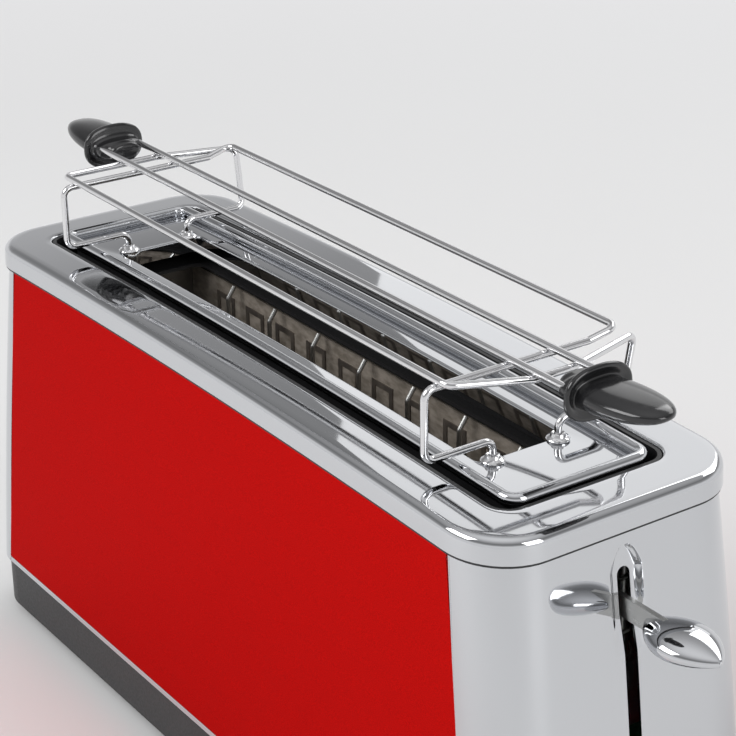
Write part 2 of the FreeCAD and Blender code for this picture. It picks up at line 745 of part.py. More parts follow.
def rack_wire_far():
    """Far rail, both inner cross wires and both near legs, in one wire."""
    top = float(rack_top())
    low = top - float(s.rack_layer)
    half, width = float(s.rack_half_length), float(s.rack_half_width)
    leg_x, leg_y = float(s.leg_x), float(s.leg_y)
    rise = float(s.rim_height + s.foot_rise)
    foot = float(s.foot_end)
    end = [(half - 3.0, width, top), (leg_x, width - 12.0, low), (leg_x, -leg_y, low),
           (leg_x, -leg_y, rise), (leg_x, -foot, rise), (leg_x, -foot, foot_bottom())]
    tail = [(-x, y, z) for x, y, z in reversed(end)]
    return node("rack_wire_far", shape_node("rack_wire_far",
                bent_rod(tail + end, s.wire_bend * 0.8, s.rack_wire)))


def foot_bottom():
    """Ends of the rack's feet, just above the collar's plate."""
    fall = arch_drop(s.collar_half_length) - arch_drop(s.leg_x)
    plate = float(s.rim_height) + fall - float(s.collar_drop)
    return plate + float(s.foot_seat)


def rack_rails():
    """Straight centre rails that run into both handles."""
    for side, sign in SIDES:
        start = (-s.rail_half_length, s.rail_spacing * sign, rack_top())
        rail = cylinder("centre_rail_" + side, "x", start, s.rail_half_length * 2,
                        s.rack_wire)
        node("rack_centre_rail_" + side, rail)


def rack_handle(side, sign):
    """Oval shield with a thumb grip that swells and rises; the rails end in it."""
    name = "rack_handle_" + side
    inner = s.rail_half_length - s.rail_seat
    handle = new_body(name + "_body")
    sketch = new_sketch(handle, "YZ_Plane")
    draw_ellipse(sketch, s.shield_half_width, s.shield_half_height)
    shield = pad(handle, sketch, s.shield_thickness)
    long_edges = edges_where(shield, lambda edge: edge.Length > 30.0)
    rounding = handle.newObject("PartDesign::Chamfer", name + "_rounding")
    rounding.Base = long_edges
    bind(rounding, Size=s.shield_thickness * 0.25)
    grip_sections(handle, name)
    handle.Placement.Rotation = Rotation(Z_AXIS, 0 if sign > 0 else 180)
    bind(handle, Placement__Base__x=inner * sign, Placement__Base__z=rack_top() - 1.5)
    depth = s.rail_seat + s.running_gap
    holes = []
    for rail_side, rail_sign in SIDES:
        begin = inner - 5.0 if sign > 0 else -inner - depth
        holes.append(cylinder("%s_hole_%s" % (name, rail_side), "x",
                              (begin, s.rail_spacing * rail_sign, rack_top()), depth + 5.0,
                              s.rack_wire + s.running_gap))
    return node(name, cut(name + "_bored", handle, *holes))


def grip_sections(handle, name):
    """Loft the grip through rounded sections: shares of length, width, height and rise."""
    length, width, height = s.grip_length, s.grip_half_width, s.grip_half_height
    root = s.shield_thickness - 1.0
    sections = ((0.0, 0.8, 0.85, 0.0), (0.25, 0.94, 0.96, 0.15), (0.5, 1.0, 0.98, 0.4),
                (0.8, 0.92, 0.78, 0.78), (1.0, 0.5, 0.38, 1.0))
    sketches = []
    for share, wide, thick, rise in sections:
        sketch = new_sketch(handle, "YZ_Plane", root + length * share)
        draw_rounded(sketch, width * wide, height * thick, height * thick * 0.96,
                     (0.0, s.grip_rise * rise))
        sketches.append(sketch)
    doc.recompute()
    loft = handle.newObject("PartDesign::AdditiveLoft", name + "_grip")
    loft.Profile = sketches[0]
    loft.Sections = sketches[1:]
    loft.Ruled = True
    for sketch in sketches:
        sketch.Visibility = False


# Base, feet and crumb tray

def rail_inner():
    return s.tray_half_width + s.tray_play


def base():
    """Black moulded base: floor, walls, tray rails, crossbars and a cord pocket."""
    outer = (s.base_half_length, s.base_half_width, s.base_corner)
    wall = s.base_wall
    inner = (outer[0] - wall, outer[1] - wall, outer[2] - wall)
    top = s.shell_low - 0.05
    floor_top = s.base_bottom + s.base_floor
    walls = rounded_block("base_walls", *outer, (s.base_bottom, top), openings=(inner,))
    floor = rounded_block("base_floor_plate", *outer, (s.base_bottom, floor_top))
    parts = [walls, floor]
    for side, sign in SIDES:
        ys = sorted((rail_inner() * sign, (s.base_half_width - 1.0) * sign), key=float)
        parts.append(box("base_rail_" + side, (-s.rail_end, ys[0], s.base_bottom),
                         (s.rail_end, ys[1], s.rail_top)))
    for side, sign in ENDS:
        xs = sorted((s.carriage_x * sign, (s.rail_end - 2.0) * sign), key=float)
        parts.append(mirrored_box("base_crossbar_" + side, xs, rail_inner() + 1.0,
                                  (s.rail_top - 3.0, s.rail_top)))
    whole = fuse("base_whole", *parts)
    mouth = mirrored_box("tray_mouth", (-s.base_half_length - 5.0, -s.base_half_length + 10.0),
                         rail_inner(), (floor_top, s.rail_top - 3.0))
    pocket = box("cord_pocket", (-s.inlet_x - 11.0, rail_inner() + 2.0, floor_top),
                 (-s.inlet_x + 11.0, s.base_half_width - wall, s.rail_top + 1.0))
    inlet = cylinder("inlet_hole", "y", (-s.inlet_x, s.base_half_width - wall - 5.0,
                                         s.inlet_height), 20.0, s.inlet_bore + s.gland_wall)
    sockets = [cylinder("foot_socket_%s_%s" % (end, side), "z",
                        (s.foot_inset_x * x, s.foot_inset_y * y, s.base_bottom - 5.0),
                        6.0, s.foot_radius + s.running_gap)
               for end, x in ENDS for side, y in SIDES]
    return node("base", cut("base_cut", whole, mouth, pocket, inlet, *sockets))


def rubber_feet():
    """Rubber feet pressed into shallow sockets; they stand on the worktop."""
    for end, x in ENDS:
        for side, y in SIDES:
            name = "rubber_foot_%s_%s" % (end, side)
            body = new_body(name)
            sketch = new_sketch(body, "XY_Plane")
            draw_circle(sketch, 0.0, 0.0, s.foot_radius)
            pad(body, sketch, s.base_bottom + 1.0)
            bind(body, Placement__Base__x=s.foot_inset_x * x,
                 Placement__Base__y=s.foot_inset_y * y)
            low_edges = edges_where(body.Tip, lambda edge: edge.BoundBox.ZMax < 0.1)
            chamfer = body.newObject("PartDesign::Chamfer", name + "_chamfer")
            chamfer.Base = low_edges
            bind(chamfer, Size=1.0)
            node(name, body)


def crumb_tray():
    """Sheet tray that slides out at the tail end, with a moulded front."""
    front = s.base_half_length + s.fit_gap
    low = s.base_bottom + s.base_floor + s.fit_gap
    sheet = s.tray_sheet
    end = s.tray_length - s.base_half_length
    outer = mirrored_box("tray_outer", (-front, end), s.tray_half_width,
                         (low, low + s.tray_depth))
    inner = mirrored_box("tray_inner", (-front + sheet, end - sheet),
                         s.tray_half_width - sheet, (low + sheet, low + s.tray_depth + 1.0))
    node("crumb_tray", cut("tray_cut", outer, inner))
    face = new_body("tray_face")
    sketch = new_sketch(face, "YZ_Plane", -front)
    half = (s.rail_top - s.base_bottom) / 2
    draw_rounded(sketch, s.tray_half_width, half, 3.0, (0.0, (s.rail_top + s.base_bottom) / 2))
    pad(face, sketch, s.tray_front, backwards=True)
    groove = cylinder("tray_finger_groove", "y",
                      (-front - s.tray_front, -20.0, s.base_bottom), 40.0, 2.6)
    node("tray_front", cut("tray_front_cut", face, groove))


def cord_gland():
    """Rubber gland in the base wall where a cord enters, and the block it wires to."""
    inside = s.base_half_width - s.base_wall - 4.0
    face = s.base_half_width + 0.05
    flange_end = face + 2.4
    tube = cylinder("gland_tube", "y", (-s.inlet_x, inside, s.inlet_height),
                    face + 1.0 - inside, s.inlet_bore + s.gland_wall - s.running_gap)
    flange = cylinder("gland_flange", "y", (-s.inlet_x, face, s.inlet_height),
                      flange_end - face, s.inlet_bore + s.gland_wall * 2)
    bore = cylinder("gland_bore", "y", (-s.inlet_x, inside - 1.0, s.inlet_height),
                    flange_end - inside + 2.0, s.inlet_bore)
    node("cord_gland", cut("gland_cut", fuse("gland_whole", tube, flange), bore))
    node("terminal_block", box("terminal_block", (-s.rail_end + 4.0, 12.0, s.rail_top),
                               (-s.carriage_x - 2.0, 34.0, s.rail_top + 12.0)))


# Toasting chamber

def bulkhead(side, sign):
    """Steel wall at one end of the chamber, slotted for lift and guards."""
    name = "bulkhead_" + side
    xs = sorted((s.bulkhead_x * sign, (s.bulkhead_x + s.bulkhead_sheet) * sign), key=float)
    plate = mirrored_box(name + "_plate", xs, s.bulkhead_half_width,
                         (s.rail_top, s.carrier_bottom))
    wide = sorted(((s.bulkhead_x - 5.0) * sign, (s.bulkhead_x + 6.0) * sign), key=float)
    clear = 0.5
    low = s.lift_top - s.lift_height - s.lever_travel - clear
    high = s.lift_top + s.lever_extra + clear
    tools = [mirrored_box(name + "_lift_slot", wide, s.lift_half_width + clear, (low, high))]
    bar_y = guard_bar_y()
    for guard_side, y_sign in SIDES:
        ys = sorted(((bar_y - s.guard_close - s.guard_wire - clear) * y_sign,
                     (bar_y + s.guard_open + s.guard_wire + clear) * y_sign), key=float)
        for label, height in (("low", s.guard_low), ("bar", s.guard_bar)):
            tools.append(box("%s_%s_%s" % (name, guard_side, label),
                             (wide[0], ys[0], height - s.guard_wire - s.running_gap),
                             (wide[1], ys[1], height + s.guard_wire + s.running_gap)))
    return node(name, cut(name + "_slotted", plate, *tools))


def guard_bar_y():
    return s.guard_y + s.guard_wire * 2


def heater_board(side, sign):
    """Mica board with one flat ribbon wound up and down its inner face."""
    ys = sorted((s.heater_y * sign, (s.heater_y + s.heater_sheet) * sign), key=float)
    reach = s.bulkhead_x - s.fit_gap
    node("heater_board_" + side, box("heater_board_" + side,
         (-reach, ys[0], s.heater_low), (reach, ys[1], s.heater_high)))
    body = new_body("heater_ribbon_" + side + "_body")
    outer_face = s.heater_y * sign
    sketch = new_sketch(body, "XZ_Plane", -outer_face)
    draw_outline(sketch, ribbon_outline())
    pad(body, sketch, s.ribbon_thickness, backwards=sign < 0)
    node("heater_ribbon_" + side, body)


def ribbon_outline():
    """Outline of a flat ribbon that runs up and down, both its edges in turn."""
    turns = int(float(s.ribbon_turns)) * 2
    half = s.slot_half_length - 6.0
    low, high = s.heater_low + 6.0, s.heater_high - 6.0
    width = s.ribbon_width
    outer, inner = [], []
    for run in range(turns + 1):
        left = half * 2 / turns * run - half
        right = left + width
        if run % 2 == 0:
            outer += [(left, low + width if run else low), (left, high)]
            inner += [(right, low), (right, high - width if run < turns else high)]
        else:
            outer += [(right, high), (right, low + width)]
            inner += [(left, high - width), (left, low)]
    return outer + inner[::-1]


def reflector(side, sign):
    """Bright steel sheet behind each heater board, with a folded top."""
    reach = s.bulkhead_x - s.fit_gap
    sheet = s.reflector_sheet
    ys = sorted((s.reflector_y * sign, (s.reflector_y + sheet) * sign), key=float)
    wall = box("reflector_wall_" + side, (-reach, ys[0], s.heater_low - 6.0),
               (reach, ys[1], s.heater_high + 2.0))
    fold_ys = sorted((s.reflector_y * sign, (s.reflector_y + 10.0) * sign), key=float)
    fold = box("reflector_fold_" + side, (-reach, fold_ys[0], s.heater_high + 2.0 - sheet),
               (reach, fold_ys[1], s.heater_high + 2.0))
    return node("reflector_" + side, fuse("reflector_whole_" + side, wall, fold))


def bread_guard(side, sign):
    """Upright guard wires on two flat bars; the tops are bent outwards."""
    wire = float(s.guard_wire)
    y = float(s.guard_y) * sign
    bar_y = float(guard_bar_y()) * sign
    high, low = float(s.guard_high), float(s.guard_low)
    reach = float(s.bulkhead_x) + 5.0
    pitch = float(s.guard_pitch)
    count = int((float(s.slot_half_length) - 8.0) // pitch)
    shapes = []
    strip = wire * 1.2
    strip_low = min(bar_y - wire * 0.9 * sign, bar_y + wire * 0.3 * sign)
    for height in (low, float(s.guard_bar)):
        shapes.append(Part.makeBox(2 * reach, strip, 2 * wire,
                                   Vector(-reach, strip_low, height - wire)))
    for index in range(-count, count + 1):
        x = pitch * index
        points = ((x, y + 0.2 * sign, low - 3.0), (x, y + 0.2 * sign, high - 5.0),
                  (x, y + 3.6 * sign, high))
        shapes.append(bent_rod(points, 2.0, wire))
    whole = shapes[0].multiFuse(shapes[1:])
    return node("bread_guard_" + side, shape_node("bread_guard_" + side, whole))


# Lever and what it carries

def bread_lift():
    """Folded steel channel under the bread, carried by the carriage."""
    top, sheet = s.lift_top, s.lift_sheet
    start = -s.bulkhead_x - 5.0
    outer = mirrored_box("lift_outer", (start, s.carriage_x), s.lift_half_width,
                         (top - s.lift_height, top))
    inner = mirrored_box("lift_inner", (start - 1.0, s.carriage_x + 1.0),
                         s.lift_half_width - sheet, (top - s.lift_height - 1.0, top - sheet))
    return node("bread_lift", cut("lift_cut", outer, inner))


def carriage():
    """Steel carriage with two bushes that slide on the guide rods."""
    x, sheet = s.carriage_x, s.carriage_sheet
    bush_low, bush_high = s.lift_top + 2.0, s.lift_top + 14.0
    outer = s.rod_radius + 2.6
    wide = mirrored_box("carriage_wide", (x, x + sheet), s.rod_y + outer,
                        (s.lift_top - s.lift_height, bush_high))
    tall = mirrored_box("carriage_tall", (x, x + sheet), 9.0,
                        (s.lift_top, s.lever_height + s.arm_height / 2 + 2.0))
    parts = [wide, tall]
    bores = []
    for side, sign in SIDES:
        y = s.rod_y * sign
        parts.append(cylinder("bush_" + side, "z", (s.rod_x, y, bush_low),
                              bush_high - bush_low, outer))
        ys = (y - 2.0, y + 2.0)
        parts.append(box("bush_web_" + side, (x + sheet / 2, ys[0], bush_low),
                         (s.rod_x, ys[1], bush_high)))
        bores.append(cylinder("bush_bore_" + side, "z", (s.rod_x, y, bush_low - 5.0),
                              30.0, s.rod_radius + s.running_gap))
    node("carriage", cut("carriage_bored", fuse("carriage_whole", *parts), *bores))
    node("armature_plate", mirrored_box("armature_plate", (x + sheet, x + sheet + 9.0), 7.0,
                                        (s.lift_top - s.lift_height, s.lift_top - 3.0)))


def lever():
    """Flat arm through the lever slot and a polished almond-shaped knob."""
    half = s.arm_thickness / 2
    low, high = s.lever_height - s.arm_height / 2, s.lever_height + s.arm_height / 2
    tip = s.knob_inner + s.knob_length * 0.55
    node("lever_arm", mirrored_box("lever_arm", (s.carriage_x + s.carriage_sheet, tip), half,
                                   (low, high)))
    outline = new_body("knob_outline")
    sketch = new_sketch(outline, "XY_Plane")
    draw_almond(sketch, s.knob_inner, s.knob_length, s.knob_half_width)
    pad(outline, sketch, s.knob_half_height * 4, both_ways=True)
    bind(outline, Placement__Base__z=s.lever_height)
    upper = common("knob_upper", outline, knob_crown("knob_crown_top", 1))
    solid = common("knob_solid", upper, knob_crown("knob_crown_low", -1))
    gap = s.running_gap
    socket = mirrored_box("knob_socket", (s.carriage_x, tip + gap), half + gap,
                          (low - gap, high + gap))
    return node("lever_knob", cut("knob_bored", solid, socket))


def knob_crown(name, sign):
    """A large ring whose outermost face crowns the knob, above or below it."""
    crown = doc.addObject("Part::Torus", name)
    across, along = s.knob_crown_across, s.knob_crown_along
    centre = s.lever_height + (s.knob_half_height - along) * sign
    crown.Placement = Placement(Vector(0, 0, 0), Rotation(X_AXIS, 90))
    middle = s.knob_inner + s.knob_length * 0.5
    bind(crown, Placement__Base__x=middle, Placement__Base__z=centre)
    return bind(crown, Radius1=along - across, Radius2=across)


def draw_almond(sketch, start, length, half_width):
    """Two arcs from tip to tip: a leaf outline along the sketch's first axis."""
    start, length, half_width = sized(start), sized(length), sized(half_width)
    end, middle = start + length, start + length / 2
    radius = (length * length / 4 + half_width * half_width) / (half_width * 2)
    for sign in (1, -1):
        points = [Vector(float(start), 0, 0), Vector(float(middle), sign * float(half_width), 0),
                  Vector(float(end), 0, 0)]
        sketch.addGeometry(Part.Arc(*points))
    for geometry in (0, 1):
        constrain(sketch, "Radius", geometry, value=radius)
    # The upper arc runs clockwise from tip to tip, so its stored ends are swapped
    ends = [[2, 1], [1, 2]]
    for geometry, order in enumerate(ends):
        pin_point(sketch, geometry, order[0], start, 0.0)
        pin_point(sketch, geometry, order[1], end, 0.0)


def guide_rods():
    """Upright rods, their top bracket and the return springs round them."""
    top = s.carrier_bottom
    bracket_low = top - 2.0
    for side, sign in SIDES:
        node("guide_rod_" + side, cylinder("guide_rod_" + side, "z",
             (s.rod_x, s.rod_y * sign, s.rail_top), bracket_low + 2.0 - s.rail_top,
             s.rod_radius))
    outer = s.bulkhead_x + s.bulkhead_sheet
    plate = mirrored_box("bracket_plate", (outer, s.rod_x + 7.0), s.rod_y + 8.0,
                         (bracket_low, bracket_low + 1.6))
    flange = mirrored_box("bracket_flange", (outer, outer + 1.6), s.rod_y + 8.0,
                          (bracket_low - 12.0, bracket_low + 1.6))
    holes = [cylinder("bracket_hole_" + side, "z", (s.rod_x, s.rod_y * sign, bracket_low - 2.0),
                      8.0, s.rod_radius + s.running_gap) for side, sign in SIDES]
    node("rod_bracket", cut("bracket_drilled", fuse("bracket_whole", plate, flange), *holes))
    low = s.lift_top + 14.0 + s.fit_gap
    for side, sign in SIDES:
        name = "return_spring_" + side
        coil = spring(float(bracket_low) - float(low) - float(s.fit_gap))
        node(name, shape_node(name, coil, (s.rod_x, s.rod_y * sign, low)))


def spring(length):
    """A coil of round wire about the upright axis, in eight straight runs a turn."""
    wire = 0.6
    radius = float(s.rod_radius) + 1.3
    runs = 8 * int(float(s.spring_turns))
    low = wire * 1.6
    step = (length - 2 * low) / runs
    corners = [Vector(radius * math.cos(math.pi / 4 * run), radius * math.sin(math.pi / 4 * run),
                      low + step * run) for run in range(runs + 1)]
    return wire_along(corners, wire)


def electromagnet():
    """Coil block under the armature that holds the carriage down."""
    top = s.lift_top - s.lift_height - s.lever_travel - s.fit_gap
    x = s.carriage_x + s.carriage_sheet
    return node("electromagnet", mirrored_box("electromagnet", (x + 1.0, x + 10.0), 7.0,
                                              (s.rail_top, top)))


# Controls

BUTTONS = ("defrost", "cancel", "reheat")


def dial():
    """Browning dial with a skirt and a grip bar, on its shaft."""
    body = new_body("dial_body")
    sketch = new_sketch(body, "XZ_Plane")
    face, skirt = s.dial_reach, s.dial_reach - 11.0
    radius, bore = s.dial_radius, s.shaft_radius - 0.0
    draw_outline(sketch, ((skirt, bore), (skirt, radius), (skirt + 2.4, radius),
                          (face - 1.2, radius * 0.78), (face, radius * 0.7), (face, bore)))
    turned = body.newObject("PartDesign::Revolution", "dial_turned")
    turned.Profile = sketch
    turned.ReferenceAxis = (sketch, ["H_Axis"])
    turned.Angle = 360
    bind(body, Placement__Base__z=s.dial_height)
    bar = box("dial_bar", (skirt + 2.4, -1.8, s.dial_height - radius * 0.74),
              (face + 3.0, 1.8, s.dial_height + radius * 0.74))
    start = s.board_x - 1.0
    whole = fuse("dial_fused", body, bar)
    bored = cut("dial_bored", whole, cylinder("dial_bore", "x",
                (skirt - 1.0, 0.0, s.dial_height), 8.0, s.shaft_radius + s.running_gap))
    node("browning_dial", bored)
    node("dial_shaft", cylinder("dial_shaft", "x", (start + 6.0, 0.0, s.dial_height),
                                skirt + 6.0 - start - 6.0, s.shaft_radius))
    pot = cylinder("pot_can", "x", (s.board_x + s.board_sheet, 0.0, s.dial_height), 7.0, 8.5)
    hole = cylinder("pot_bore", "x", (start + 6.0 - s.running_gap, 0.0, s.dial_height), 20.0,
                    s.shaft_radius + s.running_gap)
    node("potentiometer", cut("pot_bored", pot, hole))


def buttons():
    """Three round push buttons with stems that reach their switches."""
    switch_face = s.board_x + s.board_sheet + 4.0
    for index, name in enumerate(BUTTONS):
        y = s.button_pitch * (index - 1)
        stem_end = switch_face + s.button_travel + s.fit_gap
        cap_start = s.button_reach - 12.0
        cap = cylinder("cap_" + name, "x", (cap_start, y, s.button_height), 12.0,
                       s.button_radius)
        stem = cylinder("stem_" + name, "x", (stem_end, y, s.button_height),
                        cap_start - stem_end + 1.0, 2.0)
        node("button_" + name, fuse("button_whole_" + name, cap, stem))
        node("switch_" + name, box("switch_" + name,
             (s.board_x + s.board_sheet, y - 3.0, s.button_height - 3.0),
             (switch_face, y + 3.0, s.button_height + 3.0)))


def circuit_board():
    return node("circuit_board", mirrored_box("circuit_board",
                (s.board_x, s.board_x + s.board_sheet), 34.0, (s.rail_top, 90.0)))


def build():
    top_cover()
    for side, sign in ENDS:
        end_panel(side, sign)
    side_panels()
    slot_collar()
    slot_carrier()
    rack_wire_near()
    rack_wire_far()
    rack_rails()
    for side, sign in ENDS:
        rack_handle(side, sign)
    base()
    rubber_feet()
    crumb_tray()
    cord_gland()
    for side, sign in ENDS:
        bulkhead(side, sign)
    for side, sign in SIDES:
        heater_board(side, sign)
        reflector(side, sign)
        bread_guard(side, sign)
    bread_lift()
    carriage()
    lever()
    guide_rods()
    electromagnet()
    dial()
    buttons()
    circuit_board()


def check():
    """Stop if any object failed or any sub-part's shape is not sound."""
    doc.recompute()
    faults = [item.Name for item in doc.Objects
              if "Invalid" in item.State or "Error" in item.State]
    for name, item in nodes.items():
        shape = item.Shape
        if shape.isNull() or not shape.isValid() or not shape.Solids:
            faults.append(name)
    if faults:
        raise RuntimeError("not sound: " + ", ".join(faults))


def export():
    os.makedirs("parts", exist_ok=True)
    for name, item in nodes.items():
        item.Shape.exportStep("parts/%s.step" % name)
        print("%-28s solids %d  volume %.1f" % (name, len(item.Shape.Solids),
                                                 item.Shape.Volume))


build()
check()
export()
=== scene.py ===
"""Looks of the long slot toaster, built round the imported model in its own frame.

Sizes here are in millimetres, as on the real object, and become metres as a mesh is made.
"""
import json
import math

import bmesh
import bpy
from mathutils import Matrix, Vector


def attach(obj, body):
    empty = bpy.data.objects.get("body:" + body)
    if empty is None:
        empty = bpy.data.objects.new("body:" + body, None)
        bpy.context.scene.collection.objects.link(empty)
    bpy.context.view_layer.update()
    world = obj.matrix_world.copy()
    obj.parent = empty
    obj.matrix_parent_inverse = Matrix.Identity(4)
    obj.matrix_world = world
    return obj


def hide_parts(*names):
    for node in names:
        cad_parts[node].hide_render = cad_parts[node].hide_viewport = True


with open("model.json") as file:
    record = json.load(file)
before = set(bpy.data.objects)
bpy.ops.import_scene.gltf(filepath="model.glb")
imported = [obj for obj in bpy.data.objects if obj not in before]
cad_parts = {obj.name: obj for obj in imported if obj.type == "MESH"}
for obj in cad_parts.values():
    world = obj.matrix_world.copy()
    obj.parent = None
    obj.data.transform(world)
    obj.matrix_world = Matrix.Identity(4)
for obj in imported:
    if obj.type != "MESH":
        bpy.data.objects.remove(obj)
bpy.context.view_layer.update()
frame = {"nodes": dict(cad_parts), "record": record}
MM = 0.001

# Rounded rectangles in plan: half length, half width, corner radius
COVER = (179.4, 57.5, 24.0)
CUTOUT = (160.7, 37.7, 9.0)
COLLAR = (156.0, 29.6, 5.0)
SLOT = (125.0, 19.0, 3.0)

# Shell
COVER_LOW, COVER_TOP, ARCH_RISE = 178.0, 187.0, 3.4
ARCH_RADIUS = (COVER[0] ** 2 + ARCH_RISE ** 2) / (2 * ARCH_RISE)
COVER_SHEET, COVER_RIM, CUTOUT_LIP = 1.0, 3.2, 5.0
SHELL_LOW, SHELL_TOP, SHELL_CORNER = 28.0, 184.0, 23.0
SHELL_HALF_LENGTH, SHELL_HALF_WIDTH = 196.4, 61.4
END_LEAN, END_CURVE, SIDE_LEAN = 13.2, 6.4, 5.6
END_SHEET, SIDE_SHEET = 1.2, 1.0
SIDE_LOW_HALF, SIDE_TOP_HALF, SIDE_GAP = 174.4, 155.6, 0.3
STRIP_HEIGHT, STRIP_GAP = 2.6, 0.1
PANEL_TOP = 181.0

# Collar and rack
RIM_HEIGHT, BEAD, RIM_STEP = 188.0, 2.2, 2.0
COLLAR_SHEET, COLLAR_LIP = 1.2, 9.0
RACK_TOP, WIRE, WIRE_BEND = 223.8, 1.4, 4.0
TIER = 2.85
RAIL_END, RAIL_Y = 157.0, 8.8
FOOT_X, FOOT_Y, LEG_Y = 126.7, 14.5, 43.7
FOOT_RISE, FOOT_GAP = 6.8, 0.15

# Controls
LEVER_SLOT_LOW, LEVER_SLOT_TOP, LEVER_SLOT_HALF = 90.7, 164.3, 2.8
KNOB_START, KNOB_LENGTH, KNOB_HALF_WIDTH, KNOB_HALF_HEIGHT = 191.0, 35.0, 11.5, 5.0
KNOB_HEIGHT = 150.0
DIAL_HEIGHT, DIAL_SKIRT, DIAL_FACE, DIAL_RADIUS = 54.0, 196.0, 207.0, 16.0
BUTTON_HEIGHT, BUTTON_PITCH, BUTTON_RADIUS = 80.0, 19.0, 6.0
BUTTON_REACH = 195.6

# Feet and bread guards
STAND_X, STAND_Y = 160.0, 46.0
GUARD_Y, GUARD_BAR_Y, GUARD_WIRE, GUARD_PITCH = 17.8, 19.6, 1.0, 33.0

# Stage: the backdrop's colour, and the metres from the middle over which the floor turns into it
BACKDROP = (0.80, 0.80, 0.81)
FADE_START, FADE_END = 0.55, 1.7

ENDS = (("control", 1), ("tail", -1))
SIDES = (("near", -1), ("far", 1))


def arch(x):
    """How far the deck stands above its height at the ends."""
    return math.sqrt(ARCH_RADIUS ** 2 - x * x) - math.sqrt(ARCH_RADIUS ** 2 - COVER[0] ** 2)


def collar_rise(x):
    """How far the collar stands above its height at its ends."""
    return arch(x) - arch(COLLAR[0])


def mix(a, b, t):
    """The value a share t of the way from a to b."""
    return a + (b - a) * t


# Materials

def new_material(name, color, metallic=0.0, roughness=0.5, **extra):
    """A shader with its own colour; extra sockets are set by their own names."""
    material = bpy.data.materials.new(name)
    material.use_nodes = True
    shader = material.node_tree.nodes["Principled BSDF"]
    shader.inputs["Base Color"].default_value = (*color, 1.0)
    shader.inputs["Metallic"].default_value = metallic
    shader.inputs["Roughness"].default_value = roughness
    for socket, value in extra.items():
        shader.inputs[socket.replace("_", " ")].default_value = value
    return material


def noise_node(material, scale, stretch=(1, 1, 1), detail=3.0):
    """Noise in the object's own space, which can be drawn out along an axis."""
    nodes, links = material.node_tree.nodes, material.node_tree.links
    place = nodes.new("ShaderNodeTexCoord")
    mapping = nodes.new("ShaderNodeMapping")
    mapping.inputs["Scale"].default_value = stretch
    noise = nodes.new("ShaderNodeTexNoise")
    noise.inputs["Scale"].default_value = scale
    noise.inputs["Detail"].default_value = detail
    links.new(place.outputs["Object"], mapping.inputs["Vector"])
    links.new(mapping.outputs["Vector"], noise.inputs["Vector"])
    return noise


def vary(material, socket, noise, low, high):
    """Let noise move a socket between two values."""
    nodes, links = material.node_tree.nodes, material.node_tree.links
    span = nodes.new("ShaderNodeMapRange")
    span.inputs["From Min"].default_value = 0.3
    span.inputs["From Max"].default_value = 0.7
    span.inputs["To Min"].default_value = low
    span.inputs["To Max"].default_value = high
    links.new(noise.outputs["Fac"], span.inputs["Value"])
    links.new(span.outputs["Result"], nodes["Principled BSDF"].inputs[socket])


def tint(material, noise, dark, light):
    """Let noise move the base colour between two colours."""
    nodes, links = material.node_tree.nodes, material.node_tree.links
    ramp = nodes.new("ShaderNodeValToRGB")
    ramp.color_ramp.elements[0].position = 0.35
    ramp.color_ramp.elements[0].color = (*dark, 1.0)
    ramp.color_ramp.elements[1].position = 0.65
    ramp.color_ramp.elements[1].color = (*light, 1.0)
    links.new(noise.outputs["Fac"], ramp.inputs["Fac"])
    links.new(ramp.outputs["Color"], nodes["Principled BSDF"].inputs["Base Color"])


def bump(material, noise, strength, distance):
    """Let noise raise and lower the surface a little."""
    nodes, links = material.node_tree.nodes, material.node_tree.links
    node = nodes.new("ShaderNodeBump")
    node.inputs["Strength"].default_value = strength
    node.inputs["Distance"].default_value = distance
    links.new(noise.outputs["Fac"], node.inputs["Height"])
    links.new(node.outputs["Normal"], nodes["Principled BSDF"].inputs["Normal"])


def polished_steel():
    material = new_material("polished_steel", (0.64, 0.65, 0.67), 1.0, 0.04)
    vary(material, "Roughness", noise_node(material, 60.0), 0.025, 0.055)
    bump(material, noise_node(material, 14.0, detail=1.0), 0.05, 0.0004)
    return material


def red_lacquer():
    """Metallic lacquer with fine flake under a clear coat."""
    material = new_material("red_lacquer", (0.62, 0.010, 0.008), 1.0, 0.34,
                            Coat_Weight=0.08, Coat_Roughness=0.18, Coat_IOR=1.45,
                            Specular_Tint=(0.70, 0.05, 0.05, 1.0))
    tint(material, noise_node(material, 2600.0, detail=2.0), (0.54, 0.008, 0.006),
         (0.70, 0.013, 0.009))
    vary(material, "Roughness", noise_node(material, 1800.0), 0.32, 0.42)
    return material


def wire_chrome():
    material = new_material("wire_chrome", (0.78, 0.78, 0.79), 1.0, 0.11)
    vary(material, "Roughness", noise_node(material, 300.0), 0.08, 0.15)
    return material


def black_moulding():
    material = new_material("black_moulding", (0.018, 0.018, 0.019), 0.0, 0.45)
    vary(material, "Roughness", noise_node(material, 900.0), 0.38, 0.52)
    bump(material, noise_node(material, 1500.0), 0.25, 0.0001)
    return material


def black_gloss():
    material = new_material("black_gloss", (0.012, 0.012, 0.013), 0.0, 0.16,
                            Coat_Weight=0.4, Coat_Roughness=0.08)
    vary(material, "Roughness", noise_node(material, 400.0), 0.12, 0.20)
    bump(material, noise_node(material, 90.0, detail=1.0), 0.05, 0.0002)
    return material


def rubber():
    material = new_material("black_rubber", (0.025, 0.025, 0.026), 0.0, 0.8)
    bump(material, noise_node(material, 1200.0), 0.4, 0.0001)
    return material


def plated_steel():
    material = new_material("plated_steel", (0.55, 0.55, 0.53), 1.0, 0.32)
    vary(material, "Roughness", noise_node(material, 120.0, (1, 1, 6)), 0.26, 0.42)
    tint(material, noise_node(material, 25.0), (0.46, 0.46, 0.45), (0.60, 0.60, 0.58))
    return material


